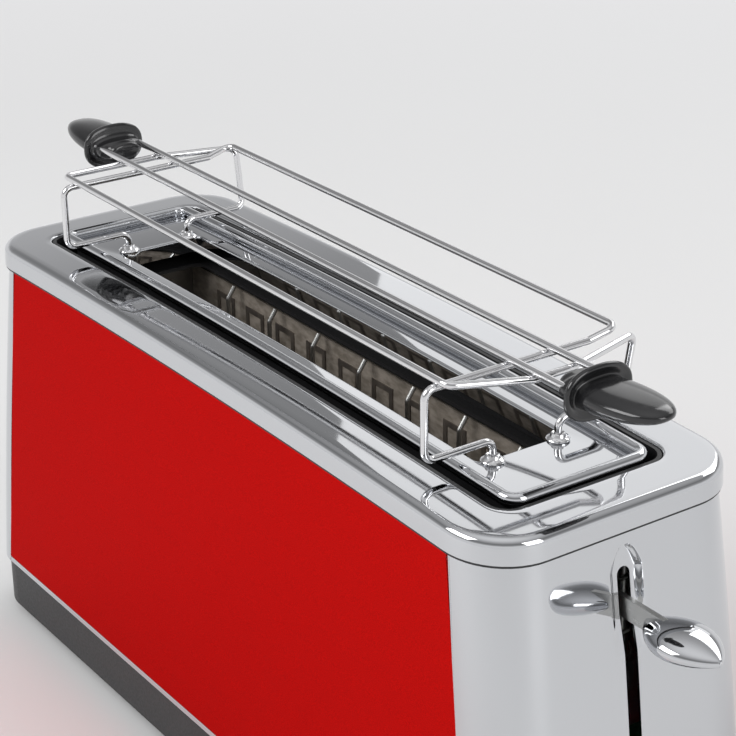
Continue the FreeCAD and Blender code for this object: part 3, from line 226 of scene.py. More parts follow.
def mica():
    """Grey-brown pressed mica with darker flakes."""
    material = new_material("mica", (0.30, 0.26, 0.22), 0.0, 0.5)
    tint(material, noise_node(material, 180.0, (1, 1, 2), 6.0), (0.22, 0.19, 0.155),
         (0.40, 0.35, 0.30))
    bump(material, noise_node(material, 260.0, (1, 1, 2)), 0.3, 0.0003)
    return material


def heating_alloy():
    material = new_material("heating_alloy", (0.20, 0.175, 0.15), 0.7, 0.5)
    tint(material, noise_node(material, 90.0), (0.15, 0.13, 0.115), (0.26, 0.225, 0.19))
    return material


def magnet_iron():
    material = new_material("magnet_iron", (0.16, 0.08, 0.04), 0.6, 0.5)
    tint(material, noise_node(material, 300.0, (1, 1, 8)), (0.12, 0.06, 0.03),
         (0.24, 0.12, 0.06))
    return material


def board_green():
    material = new_material("board_green", (0.02, 0.12, 0.05), 0.0, 0.4)
    tint(material, noise_node(material, 220.0), (0.015, 0.09, 0.04), (0.03, 0.15, 0.07))
    return material


def part_grey():
    material = new_material("part_grey", (0.30, 0.30, 0.29), 0.0, 0.5)
    tint(material, noise_node(material, 150.0), (0.26, 0.26, 0.25), (0.34, 0.34, 0.33))
    return material


def mark_white():
    material = new_material("mark_white", (0.75, 0.75, 0.74), 0.0, 0.5)
    vary(material, "Roughness", noise_node(material, 300.0), 0.45, 0.6)
    return material


LOOKS = {look.__name__: look() for look in (
    polished_steel, red_lacquer, wire_chrome, black_moulding, black_gloss, rubber,
    plated_steel, mica, heating_alloy, magnet_iron, board_green, part_grey, mark_white)}
SLOT_LOOK = {"polished_steel": "polished_steel", "red_lacquer": "red_lacquer",
             "black_plastic": "black_moulding", "black_gloss": "black_gloss",
             "black_rubber": "rubber", "rack_chrome": "wire_chrome",
             "plated_steel": "plated_steel", "mica": "mica",
             "heating_alloy": "heating_alloy", "magnet_iron": "magnet_iron",
             "board_green": "board_green", "part_grey": "part_grey"}


# Meshes

def make_object(name, points, faces, angle=35.0):
    """A mesh object from points in millimetres, shaded smooth below an angle."""
    mesh = bpy.data.meshes.new(name)
    mesh.from_pydata([Vector(p) * MM for p in points], [], faces)
    work = bmesh.new()
    work.from_mesh(mesh)
    bmesh.ops.recalc_face_normals(work, faces=work.faces)
    work.to_mesh(mesh)
    work.free()
    obj = bpy.data.objects.new(name, mesh)
    bpy.context.scene.collection.objects.link(obj)
    shade(obj, angle)
    return obj


def shade(obj, angle=35.0):
    obj.data.shade_smooth()
    obj.data.set_sharp_from_angle(angle=math.radians(angle))


def place(obj, body, slot, *nodes):
    """Let a piece ride on its body, take its slot's look and stand for its nodes."""
    obj.data.materials.clear()
    obj.data.materials.append(LOOKS[SLOT_LOOK[slot]])
    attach(obj, body)
    if nodes:
        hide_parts(*nodes)
    return obj


def join(name, *objects):
    """Several meshes as one object."""
    work = bmesh.new()
    for obj in objects:
        work.from_mesh(obj.data)
        bpy.data.objects.remove(obj)
    mesh = bpy.data.meshes.new(name)
    work.to_mesh(mesh)
    work.free()
    whole = bpy.data.objects.new(name, mesh)
    bpy.context.scene.collection.objects.link(whole)
    shade(whole)
    return whole


def modified(obj, kind, **settings):
    """Apply one modifier to a mesh."""
    modifier = obj.modifiers.new(kind.lower(), kind)
    for key, value in settings.items():
        setattr(modifier, key, value)
    graph = bpy.context.evaluated_depsgraph_get()
    mesh = bpy.data.meshes.new_from_object(obj.evaluated_get(graph))
    obj.modifiers.clear()
    old = obj.data
    obj.data = mesh
    bpy.data.meshes.remove(old)
    return obj


def bevelled(obj, width, segments=3):
    modified(obj, "BEVEL", width=width * MM, segments=segments, limit_method="ANGLE",
             angle_limit=math.radians(40))
    shade(obj, 50.0)
    return modified(obj, "WEIGHTED_NORMAL", keep_sharp=True)


def carve(obj, *cutters):
    """Cut other meshes out of a mesh."""
    for cutter in cutters:
        modified(obj, "BOOLEAN", operation="DIFFERENCE", object=cutter, solver="EXACT")
        bpy.data.objects.remove(cutter)
    shade(obj)
    return obj


def rings(name, loops, closed_loops=True, closed_rings=True, caps=False, angle=35.0):
    """A skin through loops of points that all have the same count."""
    count = len(loops[0])
    points = [p for loop in loops for p in loop]
    faces = []
    last = len(loops) if closed_rings else len(loops) - 1
    span = count if closed_loops else count - 1
    for a in range(last):
        b = (a + 1) % len(loops)
        for i in range(span):
            j = (i + 1) % count
            faces.append((a * count + i, a * count + j, b * count + j, b * count + i))
    if caps:
        faces.append(tuple(range(count)))
        faces.append(tuple((len(loops) - 1) * count + i for i in range(count)))
    return make_object(name, points, faces, angle)


CORNER_STEPS, LONG_STEPS, SHORT_STEPS = 12, 40, 10


def outline(half_x, half_y, corner, inset=0.0):
    """Points round a rounded rectangle, moved inwards along its own normals."""
    points = []
    for quarter, (sx, sy) in enumerate(((1, 1), (-1, 1), (-1, -1), (1, -1))):
        cx, cy = sx * (half_x - corner), sy * (half_y - corner)
        reach = corner - inset
        for step in range(CORNER_STEPS + 1):
            a = (quarter + step / CORNER_STEPS) * math.pi / 2
            points.append((cx + reach * math.cos(a), cy + reach * math.sin(a)))
        steps = LONG_STEPS if quarter % 2 == 0 else SHORT_STEPS
        start = points[-1]
        if quarter % 2 == 0:
            end = (-start[0], start[1])
        else:
            end = (start[0], -start[1])
        for step in range(1, steps):
            points.append((mix(start[0], end[0], step / steps),
                           mix(start[1], end[1], step / steps)))
    return points


def raised(flat, height, rise=arch):
    """A plan line lifted to a height that follows the deck's arch."""
    return [(x, y, height + rise(x)) for x, y in flat]


def swept(name, profile, rise=arch):
    """A closed profile carried round rounded rectangles: (rectangle, inset, height)."""
    return rings(name, [raised(outline(*size, inset), height, rise)
                        for size, inset, height in profile])


def lathe(name, profile, axis_point, direction, steps=48):
    """Turn (distance along, radius) about an axis; the ends close on the axis."""
    along = Vector(direction).normalized()
    side = along.orthogonal().normalized()
    other = along.cross(side)
    centre = Vector(axis_point)
    loops = []
    for distance, radius in profile:
        loop = []
        for step in range(steps):
            a = 2 * math.pi * step / steps
            loop.append(centre + along * distance
                        + (side * math.cos(a) + other * math.sin(a)) * max(radius, 0.001))
        loops.append(loop)
    return rings(name, loops, closed_rings=False, caps=True)


def lathe_ring(name, profile, centre, steps):
    """A closed section of (height, radius) turned about an upright axis."""
    loops = []
    for height, radius in profile:
        loops.append([(centre[0] + radius * math.cos(2 * math.pi * k / steps),
                       centre[1] + radius * math.sin(2 * math.pi * k / steps),
                       centre[2] + height) for k in range(steps)])
    return rings(name, loops)


def rounded_path(points, bend, steps=8):
    """Straight runs joined by arcs of one bend radius."""
    corners = [Vector(p) for p in points]
    path = [corners[0]]
    for before, corner, after in zip(corners, corners[1:], corners[2:]):
        incoming, outgoing = (corner - before).normalized(), (after - corner).normalized()
        turn = incoming.angle(outgoing)
        if turn < 0.01:
            path.append(corner)
            continue
        setback = bend * math.tan(turn / 2)
        centre = (corner - incoming * setback
                  + (outgoing - incoming * incoming.dot(outgoing)).normalized() * bend)
        start = corner - incoming * setback - centre
        axis = incoming.cross(outgoing).normalized()
        for step in range(steps + 1):
            path.append(centre + Matrix.Rotation(turn * step / steps, 3, axis) @ start)
    path.append(corners[-1])
    return path


def tube(name, path, radius, sides=14, closed=False):
    """Round wire along a path."""
    count = len(path)
    loops = []
    side = None
    for index, point in enumerate(path):
        after = path[(index + 1) % count] if closed or index < count - 1 else point
        before = path[index - 1] if closed or index else point
        along = (after - before).normalized()
        if side is None:
            side = along.orthogonal().normalized()
        side = (side - along * side.dot(along)).normalized()
        other = along.cross(side)
        loops.append([point + (side * math.cos(2 * math.pi * k / sides)
                               + other * math.sin(2 * math.pi * k / sides)) * radius
                      for k in range(sides)])
    return rings(name, loops, closed_rings=closed, caps=not closed, angle=60.0)


def prism(name, flat, low, high, axis="z"):
    """A flat outline raised between two heights along an axis."""
    order = {"z": lambda a, b, c: (a, b, c), "x": lambda a, b, c: (c, a, b),
             "y": lambda a, b, c: (a, c, b)}[axis]
    loops = [[order(a, b, height) for a, b in flat] for height in (low, high)]
    return rings(name, loops, closed_rings=False, caps=True)


# Outer shell

def rim_profile():
    """The cover's section from its lower edge over the rim to the deck's edge."""
    radius = COVER_RIM
    draft = math.tan(math.radians(3.0))
    centre = COVER_TOP - radius
    profile = [(COVER, 0.0, COVER_LOW), (COVER, 0.05, COVER_LOW + 0.8)]
    base = (centre - COVER_LOW) * draft
    for step in range(9):
        a = math.pi / 2 * step / 8
        profile.append((COVER, base + radius * (1 - math.cos(a)),
                        centre + radius * math.sin(a)))
    return profile


def build_cover():
    """Arched deck with a rounded rim outside and a lip turned down round the cutout."""
    sheet = COVER_SHEET
    profile = [raised(outline(*size, inset), height) for size, inset, height in rim_profile()]
    deck_edge = outline(*COVER, rim_profile()[-1][1])
    hole = outline(CUTOUT[0] + sheet, CUTOUT[1] + sheet, CUTOUT[2] + sheet)
    for t in (0.15, 0.5, 0.85):
        flat = [(mix(a[0], b[0], t), mix(a[1], b[1], t)) for a, b in zip(deck_edge, hole)]
        profile.append(raised(flat, COVER_TOP))
    for step in range(7):
        a = math.pi / 2 * step / 6
        profile.append(raised(outline(*CUTOUT, -sheet * (1 - math.sin(a))),
                              COVER_TOP - sheet * (1 - math.cos(a))))
    lip = COVER_TOP - CUTOUT_LIP
    profile.append(raised(outline(*CUTOUT), lip))
    profile.append(raised(outline(*CUTOUT, -sheet), lip))
    profile.append(raised(outline(*CUTOUT, -sheet), COVER_TOP - sheet))
    profile.append(raised(outline(*COVER, 4.0), COVER_TOP - sheet))
    profile.append(raised(outline(*COVER, 1.6), COVER_TOP - COVER_RIM))
    profile.append(raised(outline(*COVER, sheet), COVER_LOW))
    place(rings("cover_skin", profile), "housing", "polished_steel", "top_cover")


def build_gap_shade_strip():
    """Black strip below the cover's lower edge: painted shade standing in for the shadow in the
    gap there.
    """
    low = COVER_LOW - 1.1
    profile = [(COVER, 0.5, low), (COVER, 0.3, low + 0.2), (COVER, 0.3, COVER_LOW - 0.02),
               (COVER, 1.2, COVER_LOW - 0.02), (COVER, 1.2, low)]
    # painted shade: a dark strip where the gap under the cover would only be in shadow
    shade_strip = swept("cover_gap_shade", profile)
    place(shade_strip, "housing", "black_plastic")


def shell_size(z):
    """Half length and half width of the body at a height."""
    t = (z - SHELL_LOW) / (SHELL_TOP - SHELL_LOW)
    half_length = SHELL_HALF_LENGTH - END_LEAN * t - END_CURVE * t * t
    return half_length, SHELL_HALF_WIDTH - SIDE_LEAN * t


def edge_x(z):
    """Slanted edge of the end panels, a gap past the side panels."""
    t = (z - SHELL_LOW) / (SHELL_TOP - SHELL_LOW)
    return mix(SIDE_LOW_HALF, SIDE_TOP_HALF, t) + SIDE_GAP


def end_path(z, inset):
    """Plan line of an end panel at a height, from one slanted edge to the other."""
    half_x, half_y = shell_size(z)
    half_x, half_y, corner = half_x - inset, half_y - inset, SHELL_CORNER - inset
    start = edge_x(z)
    points = [(mix(start, half_x - corner, k / 4), -half_y) for k in range(4)]
    turns = 16
    for step in range(turns + 1):
        a = -math.pi / 2 + math.pi / 2 * step / turns
        points.append((half_x - corner + corner * math.cos(a),
                       -(half_y - corner) + corner * math.sin(a)))
    side = [(x, -y) for x, y in reversed(points)]
    flat, fine = half_y - corner, 9.0
    points += [(half_x, mix(-flat, -fine, k / 6)) for k in range(1, 6)]
    points += [(half_x, mix(-fine, fine, k / 54)) for k in range(55)]
    points += [(half_x, mix(fine, flat, k / 6)) for k in range(1, 6)]
    return points + side


def recess(y, z):
    """Depth of the teardrop pressed in round the top of the lever slot."""
    apex, shoulder, low, run_out = 172.6, 164.0, 148.0, 14.0
    widest, deepest = 7.5, 1.7
    if z > apex or z < low - run_out:
        return 0.0
    if z > shoulder:
        half = widest * math.sqrt((apex - z) / (apex - shoulder))
    else:
        half = widest
    if abs(y) >= half or half < 0.01:
        return 0.0
    across = 1.0 - (abs(y) / half) ** 2
    fade = min(1.0, max(0.0, (z - low + run_out) / run_out))
    slope = min(1.0, across * 1.3)
    return deepest * slope * slope * (3.0 - 2.0 * slope) * fade


def end_skin(inset, sign):
    """Grid of points over an end panel's face, finer round the top of the lever slot."""
    shares = [0.64 * k / 24 for k in range(24)] + [0.64 + 0.32 * k / 84 for k in range(84)]
    shares += [0.96, 0.98, 1.0]
    top_path = end_path(PANEL_TOP, inset)
    loops = []
    for share in shares:
        loop = []
        for index, (top_x, _) in enumerate(top_path):
            top = PANEL_TOP + arch(top_x)
            z = mix(SHELL_LOW, top, share)
            x, y = end_path(z, inset)[index]
            if sign > 0:
                x -= recess(y, z)
            loop.append((x * sign, y, z))
        loops.append(loop)
    return loops


def build_end_panels():
    """Bent sheets that close the body's ends, with their upper and lower edges closed."""
    for end, sign in ENDS:
        outer, inner = end_skin(0.0, sign), end_skin(END_SHEET, sign)
        loops = [[*a, *b[::-1]] for a, b in zip(outer, inner)]
        panel = rings(end + "_end_skin", loops, closed_rings=False)
        work = bmesh.new()
        work.from_mesh(panel.data)
        work.verts.ensure_lookup_table()
        width = len(outer[0])
        for row in (0, len(loops) - 1):
            first = row * width * 2
            for i in range(width - 1):
                corners = (i, i + 1, width * 2 - 2 - i, width * 2 - 1 - i)
                work.faces.new([work.verts[first + c] for c in corners])
        bmesh.ops.recalc_face_normals(work, faces=work.faces)
        work.to_mesh(panel.data)
        work.free()
        shade(panel)
        if end == "control":
            carve(panel, *control_cutters())
        place(panel, "housing", "polished_steel", end + "_end_panel")


def control_cutters():
    """The lever slot, the dial's hole and the buttons' holes."""
    inside, outside = 160.0, 220.0
    half = LEVER_SLOT_HALF
    low, top = LEVER_SLOT_LOW + half, LEVER_SLOT_TOP - half
    flat = [(half * math.cos(a), top + half * math.sin(a))
            for a in [math.pi * k / 12 for k in range(13)]]
    flat += [(-x, low + top - z) for x, z in flat]
    cutters = [prism("slot_cutter", flat, inside, outside, "x")]
    holes = [("dial_cutter", 0.0, DIAL_HEIGHT, 5.0)]
    holes += [("button_cutter", BUTTON_PITCH * index, BUTTON_HEIGHT, BUTTON_RADIUS + 0.3)
              for index in (-1, 0, 1)]
    for name, y, z, radius in holes:
        cutters.append(lathe(name, ((inside, radius), (outside, radius)), (0, y, z), (1, 0, 0)))
    return cutters


def build_side_panels():
    """Lacquered plates that lean on the body's flat sides, with soft edges."""
    lean = math.atan2(SIDE_LEAN, SHELL_TOP - SHELL_LOW)
    pieces = (("panel", STRIP_HEIGHT + STRIP_GAP, None, "red_lacquer", "_side_panel"),
              ("strip", 0.0, STRIP_HEIGHT, "polished_steel", "_bright_strip"))
    for name, sign in (("front", -1), ("rear", 1)):
        for piece, low, high, slot, node in pieces:
            flat = plate_outline(low, high)
            plate = prism("%s_%s_skin" % (name, piece), flat, 0.0, SIDE_SHEET, "y")
            turn = Matrix.Rotation(-lean, 4, "X")
            if sign > 0:
                turn = Matrix.Rotation(math.pi, 4, "Z") @ turn
            foot = Vector((0, SHELL_HALF_WIDTH * sign, SHELL_LOW)) * MM
            plate.data.transform(Matrix.Translation(foot) @ turn)
            bevelled(plate, 0.25, 2)
            place(plate, "housing", slot, name + node)


def plate_outline(low, high):
    """Outline of a side plate above the body's lower edge; without a height it meets the arch."""
    def edge(height):
        return SIDE_LOW_HALF - (SIDE_LOW_HALF - SIDE_TOP_HALF) * height / (SHELL_TOP - SHELL_LOW)

    if high is not None:
        return [(-edge(low), low), (edge(low), low), (edge(high), high), (-edge(high), high)]
    steps = 40
    top_x = edge(PANEL_TOP - SHELL_LOW + arch(158.0))
    flat = [(-edge(low), low), (edge(low), low)]
    for k in range(steps + 1):
        x = mix(top_x, -top_x, k / steps)
        flat.append((x, PANEL_TOP + arch(x) - SHELL_LOW))
    return flat


# Collar and rack

def build_collar():
    """Rolled bead, and a plate inside it that turns down into the slot."""
    turns = [2 * math.pi * k / 16 for k in range(16)]
    bead = [raised(outline(*COLLAR, -BEAD * math.cos(a)), RIM_HEIGHT + BEAD * math.sin(a),
                   collar_rise) for a in turns]
    bead = rings("collar_bead", bead)
    sheet = COLLAR_SHEET
    top, under = RIM_HEIGHT - RIM_STEP, RIM_HEIGHT - RIM_STEP - sheet
    lip = RIM_HEIGHT - COLLAR_LIP
    profile = [(COLLAR, 0.6, RIM_HEIGHT), (COLLAR, 0.6, top + 0.5), (COLLAR, 1.1, top)]
    for step in range(7):
        a = math.pi / 2 * step / 6
        profile.append((SLOT, -sheet * (1 - math.sin(a)), top - sheet * (1 - math.cos(a))))
    profile += [(SLOT, 0.0, lip), (SLOT, -sheet, lip), (SLOT, -sheet, under),
                (COLLAR, -0.6, under), (COLLAR, -0.6, RIM_HEIGHT)]
    plate = swept("collar_plate", profile, collar_rise)
    place(join("collar_skin", bead, plate), "housing", "polished_steel", "slot_collar")


def mirrored(half):
    return [(-x, y, z) for x, y, z in reversed(half)] + list(half)


def build_rack():
    """Two bent wires that carry the rails and stand on four feet, and two centre rails."""
    low = RACK_TOP - TIER
    rise = RIM_HEIGHT + FOOT_RISE
    seat = RIM_HEIGHT + collar_rise(FOOT_X) - RIM_STEP + FOOT_GAP
    near = [(133.4, -39.0, RACK_TOP), (140.9, -RAIL_Y, low), (140.9, RAIL_Y, low),
            (131.2, LEG_Y, low), (FOOT_X, LEG_Y, rise), (FOOT_X, FOOT_Y, rise),
            (FOOT_X, FOOT_Y, seat)]
    far = [(127.9, 39.0, RACK_TOP), (FOOT_X, 27.0, low), (FOOT_X, -LEG_Y, low),
           (FOOT_X, -LEG_Y, rise), (FOOT_X, -FOOT_Y, rise), (FOOT_X, -FOOT_Y, seat)]
    for side, half in (("near", near), ("far", far)):
        wire = tube("rack_%s_wire" % side, rounded_path(mirrored(half), WIRE_BEND), WIRE)
        place(wire, "rack", "rack_chrome", "rack_wire_" + side)
    for side, sign in SIDES:
        path = [Vector((x, RAIL_Y * sign, RACK_TOP)) for x in (-RAIL_END, RAIL_END)]
        place(tube("rack_%s_rail" % side, path, WIRE), "rack", "rack_chrome",
              "rack_centre_rail_" + side)
    for end, sign in ENDS:
        build_handle(end, sign)


def superellipse(half_y, half_z, rise, x, power=2.4, count=40):
    """A soft-cornered oval across the long axis, at a height and a place along it."""
    loop = []
    for k in range(count):
        a = 2 * math.pi * k / count
        c, d = math.cos(a), math.sin(a)
        y = math.copysign(abs(c) ** (2 / power), c) * half_y
        z = math.copysign(abs(d) ** (2 / power), d) * half_z
        loop.append((x, y, z + rise))
    return loop


def build_handle(end, sign):
    """Neck between the rails, thin oval shield and leaf-shaped grip.

    A station is the distance out, half width, half height and rise of one section.
    """
    inner, middle = 150.6, RACK_TOP - 1.5
    stations = [(0.0, 6.4, 3.0, 0.3), (0.6, 7.0, 3.6, 0.3), (4.2, 7.1, 3.7, 0.3),
                (4.8, 10.4, 3.9, 0.3), (5.4, 11.0, 4.0, 0.3), (10.4, 11.0, 4.0, 0.2),
                (10.8, 11.8, 6.6, 0.1), (11.0, 13.0, 8.6, 0.0), (11.4, 14.2, 9.6, 0.0),
                (12.1, 14.5, 9.9, 0.0), (13.0, 14.4, 9.8, 0.0), (13.5, 13.8, 9.2, 0.0),
                (13.6, 12.9, 8.3, 0.0), (12.9, 11.8, 6.9, 0.0), (12.4, 10.8, 5.6, 0.0),
                (12.9, 10.3, 4.9, 0.0), (15.0, 10.8, 4.9, 0.1), (19.0, 11.4, 4.9, 0.4),
                (24.0, 11.5, 4.7, 0.8), (30.0, 11.1, 4.3, 1.3), (35.5, 10.0, 3.7, 1.8),
                (40.0, 8.2, 3.0, 2.2), (43.4, 5.8, 2.2, 2.5), (45.2, 3.2, 1.2, 2.6),
                (45.7, 0.6, 0.2, 2.7)]
    loops = []
    for out, half_y, half_z, rise in stations:
        loop = superellipse(half_y, half_z, middle + rise, inner + out)
        loops.append([(px * sign, py, pz) for px, py, pz in loop])
    grip = rings("rack_%s_grip" % end, loops, closed_rings=False, caps=True, angle=75.0)
    modified(grip, "SUBSURF", levels=1, render_levels=1)
    shade(grip, 75.0)
    place(grip, "rack", "black_gloss", "rack_handle_" + end)


def build_foot_seats():
    """Small bright cups on the collar's plate that the rack's feet stand in."""
    for end, x_sign in ENDS:
        for side, y_sign in SIDES:
            x, y = FOOT_X * x_sign, FOOT_Y * y_sign
            base = RIM_HEIGHT + collar_rise(x) - RIM_STEP
            profile = [(0.0, 1.55), (0.0, 4.2), (0.5, 4.4), (1.0, 4.0), (1.4, 2.9),
                       (2.4, 2.5), (2.6, 2.1), (2.4, 1.55)]
            cup = lathe_ring("seat_%s_%s" % (end, side), profile, (x, y, base), 32)
            place(cup, "housing", "rack_chrome")


# Lever and controls

def build_lever():
    """Leaf-shaped knob with a crowned section."""
    loops = []
    steps = 28
    for k in range(steps + 1):
        t = 0.5 - 0.5 * math.cos(math.pi * k / steps)
        swell = math.sin(math.pi * min(max(t, 0.004), 0.996)) ** 0.72
        half_height = KNOB_HALF_HEIGHT * (0.35 + 0.65 * swell) * swell ** 0.3
        loops.append(superellipse(KNOB_HALF_WIDTH * swell, half_height, KNOB_HEIGHT,
                                  KNOB_START + KNOB_LENGTH * t, 2.1))
    knob = rings("lever_grip", loops, closed_rings=False, caps=True, angle=80.0)
    place(knob, "carriage_assembly", "polished_steel", "lever_knob")


def build_dial():
    """Round knob with a wider skirt, a grip bar across it and a white mark on the bar."""
    skirt, face, radius = DIAL_SKIRT, DIAL_FACE, DIAL_RADIUS
    profile = [(skirt, 3.1), (skirt, radius - 0.6), (skirt + 0.6, radius),
               (skirt + 2.0, radius), (skirt + 2.6, radius - 0.5), (skirt + 3.0, 13.4),
               (face - 1.6, 12.6), (face - 0.5, 12.1), (face, 11.0), (face, 0.0)]
    body = lathe("dial_round", profile, (0, 0, DIAL_HEIGHT), (1, 0, 0), 64)
    bar_width, bar_length, bar_rise = 1.8, 11.8, 3.0
    bar = upright_block("dial_bar", bar_width, DIAL_HEIGHT - bar_length,
                        DIAL_HEIGHT + bar_length, skirt + 2.4, face + bar_rise)
    bevelled(bar, 0.8)
    place(join("dial_knob", body, bar), "dial", "black_gloss", "browning_dial")
    mark = upright_block("dial_mark", 0.5, DIAL_HEIGHT + 4.5, DIAL_HEIGHT + 11.0,
                         face + bar_rise - 0.05, face + bar_rise + 0.05)
    bevelled(mark, 0.02, 1)
    mark.data.materials.append(LOOKS["mark_white"])
    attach(mark, "dial")


def upright_block(name, half_y, low, high, inner, outer):
    """A box on the dial: half width, two heights and two distances along."""
    flat = [(-half_y, low), (half_y, low), (half_y, high), (-half_y, high)]
    return prism(name, flat, inner, outer, "x")


def build_buttons():
    """Caps with a rounded edge and a faint dish, each on a stem."""
    stem_end, stem_radius, reach, radius = 175.9, 2.0, BUTTON_REACH, BUTTON_RADIUS
    profile = [(stem_end, 0.0), (stem_end, stem_radius), (reach - 12.1, stem_radius),
               (reach - 12.0, radius), (reach - 1.2, radius), (reach - 0.5, radius - 0.2),
               (reach, radius - 0.8), (reach - 0.1, 4.0), (reach - 0.4, 2.0), (reach - 0.5, 0.0)]
    for index, name in enumerate(("defrost", "cancel", "reheat")):
        y = BUTTON_PITCH * (index - 1)
        cap = lathe(name + "_cap", profile, (0, y, BUTTON_HEIGHT), (1, 0, 0), 40)
        place(cap, name + "_button", "black_gloss", "button_" + name)


# What it stands on

def build_feet():
    """Rubber feet with a rounded lower edge."""
    profile = [(0.0, 0.0), (0.0, 7.6), (0.4, 8.5), (1.4, 9.0), (5.9, 9.0), (6.0, 0.0)]
    for end, x_sign in ENDS:
        for side, y_sign in SIDES:
            foot = lathe("foot_%s_%s" % (end, side), profile,
                         (STAND_X * x_sign, STAND_Y * y_sign, 0), (0, 0, 1), 40)
            place(foot, "housing", "black_rubber", "rubber_foot_%s_%s" % (end, side))


# Toasting chamber

def build_guards():
    """Upright wires with hooked tops, welded to two bars along the chamber."""
    low, bend, top, hook = 47.0, 165.6, 170.6, 3.4
    reach = 146.0
    for side, sign in SIDES:
        y, bar_y = GUARD_Y * sign, GUARD_BAR_Y * sign
        pieces = []
        for height in (50.0, 136.0):
            path = [Vector((x, bar_y, height)) for x in (-reach, reach)]
            pieces.append(tube("guard_bar", path, GUARD_WIRE, 10))
        for index in range(-3, 4):
            x = GUARD_PITCH * index
            path = rounded_path([(x, y, low), (x, y, bend), (x, y + hook * sign, top)], 2.0, 5)
            pieces.append(tube("guard_wire", path, GUARD_WIRE, 10))
        place(join("guard_%s_wires" % side, *pieces), "guard_" + side, "plated_steel",
              "bread_guard_" + side)


# Stage

def build_stage():
    """Pale floor under the object."""
    mesh = bpy.data.meshes.new("floor")
    reach = 6.0
    mesh.from_pydata([(-reach, -reach, 0), (reach, -reach, 0), (reach, reach, 0),
                      (-reach, reach, 0)], [], [(0, 1, 2, 3)])
    floor = bpy.data.objects.new("floor", mesh)
    bpy.context.scene.collection.objects.link(floor)
    pale = new_material("floor_pale", (0.80, 0.80, 0.80), 0.0, 0.6)
    vary(pale, "Roughness", noise_node(pale, 3.0), 0.55, 0.65)
    fade_far_floor(pale)
    floor.data.materials.append(pale)


def fade_far_floor(material):
    """Away from the object the floor turns into the pale backdrop's own colour."""
    nodes, links = material.node_tree.nodes, material.node_tree.links
    place = nodes.new("ShaderNodeTexCoord")
    distance = nodes.new("ShaderNodeVectorMath")
    distance.operation = "LENGTH"
    far = nodes.new("ShaderNodeMapRange")
    far.interpolation_type = "SMOOTHSTEP"
    far.inputs["From Min"].default_value = FADE_START
    far.inputs["From Max"].default_value = FADE_END
    glow = nodes.new("ShaderNodeEmission")
    glow.inputs["Color"].default_value = (*BACKDROP, 1.0)
    path = nodes.new("ShaderNodeLightPath")
    seen = nodes.new("ShaderNodeMath")
    seen.operation = "MAXIMUM"
    also = nodes.new("ShaderNodeMath")
    also.operation = "MAXIMUM"
    amount = nodes.new("ShaderNodeMath")
    amount.operation = "MULTIPLY"
    blend = nodes.new("ShaderNodeMixShader")
    links.new(place.outputs["Object"], distance.inputs[0])
    links.new(distance.outputs["Value"], far.inputs["Value"])
    links.new(path.outputs["Is Camera Ray"], seen.inputs[0])
    links.new(path.outputs["Is Glossy Ray"], seen.inputs[1])
    links.new(seen.outputs["Value"], also.inputs[0])
    links.new(path.outputs["Is Transmission Ray"], also.inputs[1])
    links.new(far.outputs["Result"], amount.inputs[0])
    links.new(also.outputs["Value"], amount.inputs[1])
    links.new(amount.outputs["Value"], blend.inputs["Fac"])
    links.new(nodes["Principled BSDF"].outputs["BSDF"], blend.inputs[1])
    links.new(glow.outputs["Emission"], blend.inputs[2])
    links.new(blend.outputs["Shader"], nodes["Material Output"].inputs["Surface"])


def add_light(name, place_at, target, size, power):
    """A rectangular soft light in metres and watts, aimed at a point."""
    data = bpy.data.lights.new(name, "AREA")
    data.shape = "RECTANGLE"
    data.size, data.size_y = size
    data.energy = power
    light = bpy.data.objects.new(name, data)
    bpy.context.scene.collection.objects.link(light)
    light.location = place_at
    aim = Vector(target) - Vector(place_at)
    light.rotation_euler = aim.to_track_quat("-Z", "Y").to_euler()


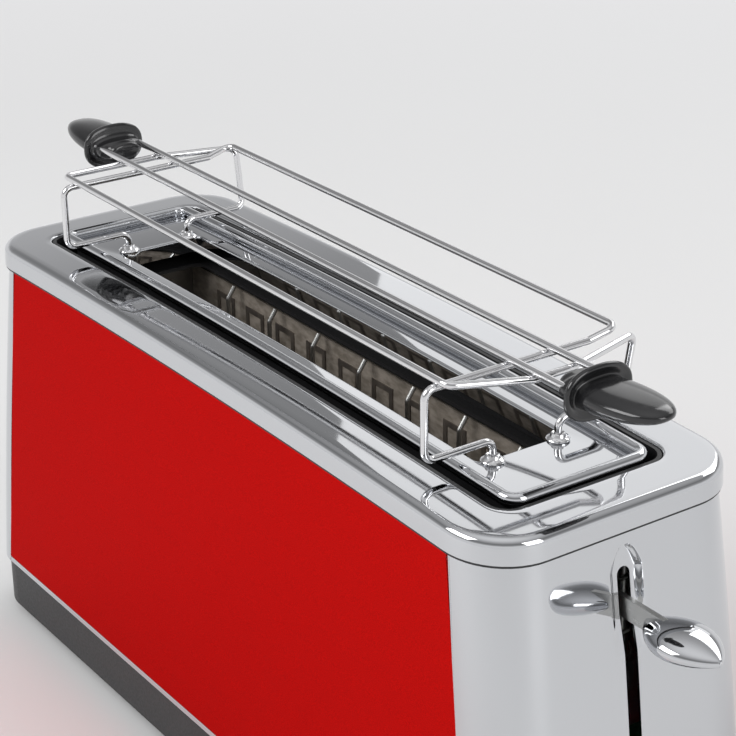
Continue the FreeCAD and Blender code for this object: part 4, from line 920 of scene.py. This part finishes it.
def build_light():
    """Large soft lights, and a world that is pale low down and greyer above."""
    add_light("key", (-0.5, -1.5, 1.6), (0, 0, 0.1), (1.5, 1.0), 25)
    add_light("fill", (1.9, 0.4, 1.0), (0, 0, 0.1), (0.9, 1.2), 11)
    add_light("back", (-0.3, 1.8, 1.5), (0, 0, 0.15), (1.6, 0.8), 10)
    add_light("card", (-1.2, 1.55, 1.2), (0.15, -0.05, 0.2), (1.2, 0.8), 2.3)
    world = bpy.data.worlds.new("world")
    bpy.context.scene.world = world
    world.use_nodes = True
    nodes, links = world.node_tree.nodes, world.node_tree.links
    place = nodes.new("ShaderNodeTexCoord")
    split = nodes.new("ShaderNodeSeparateXYZ")
    ramp = nodes.new("ShaderNodeValToRGB")
    shades = ((0.0, 0.80), (0.16, 0.80), (0.34, 0.36), (0.55, 0.22), (0.80, 0.50), (1.0, 0.85))
    for position, _ in shades[1:-1]:
        ramp.color_ramp.elements.new(position)
    for element, (position, grey) in zip(ramp.color_ramp.elements, shades):
        element.position = position
        element.color = (grey, grey, grey * 1.01, 1.0)
    links.new(place.outputs["Generated"], split.inputs["Vector"])
    links.new(split.outputs["Z"], ramp.inputs["Fac"])
    links.new(ramp.outputs["Color"], nodes["Background"].inputs["Color"])


def build_camera():
    """Camera where the photograph was taken from: place in millimetres, angles in degrees."""
    spot = Vector((628.291, -416.320, 505.756))
    azimuth, pitch, roll = (math.radians(a) for a in (145.074, 23.868, -0.598))
    forward = Vector((math.cos(azimuth) * math.cos(pitch), math.sin(azimuth) * math.cos(pitch),
                      -math.sin(pitch)))
    right = forward.cross(Vector((0, 0, 1))).normalized()
    up = right.cross(forward)
    turned_right = right * math.cos(roll) + up * math.sin(roll)
    turned_up = up * math.cos(roll) - right * math.sin(roll)
    data = bpy.data.cameras.new("camera")
    data.sensor_width = 36.0
    data.lens = 102.35
    camera = bpy.data.objects.new("camera", data)
    bpy.context.scene.collection.objects.link(camera)
    turn = Matrix((turned_right, turned_up, -forward)).transposed().to_4x4()
    camera.matrix_world = Matrix.Translation(spot * MM) @ turn
    bpy.context.scene.camera = camera


def dress_nodes():
    """The CAD nodes that show keep their shape and take their slot's look."""
    slot_of = {part["node"]: part["material_slot"] for part in frame["record"]["subparts"]}
    for name, node in frame["nodes"].items():
        node.data.materials.clear()
        node.data.materials.append(LOOKS[SLOT_LOOK[slot_of[name]]])


def build():
    dress_nodes()
    build_cover()
    build_gap_shade_strip()
    build_end_panels()
    build_side_panels()
    build_collar()
    build_rack()
    build_foot_seats()
    build_lever()
    build_dial()
    build_buttons()
    build_feet()
    build_guards()
    build_stage()
    build_light()
    build_camera()
    bpy.context.scene.view_settings.view_transform = "Standard"


build()
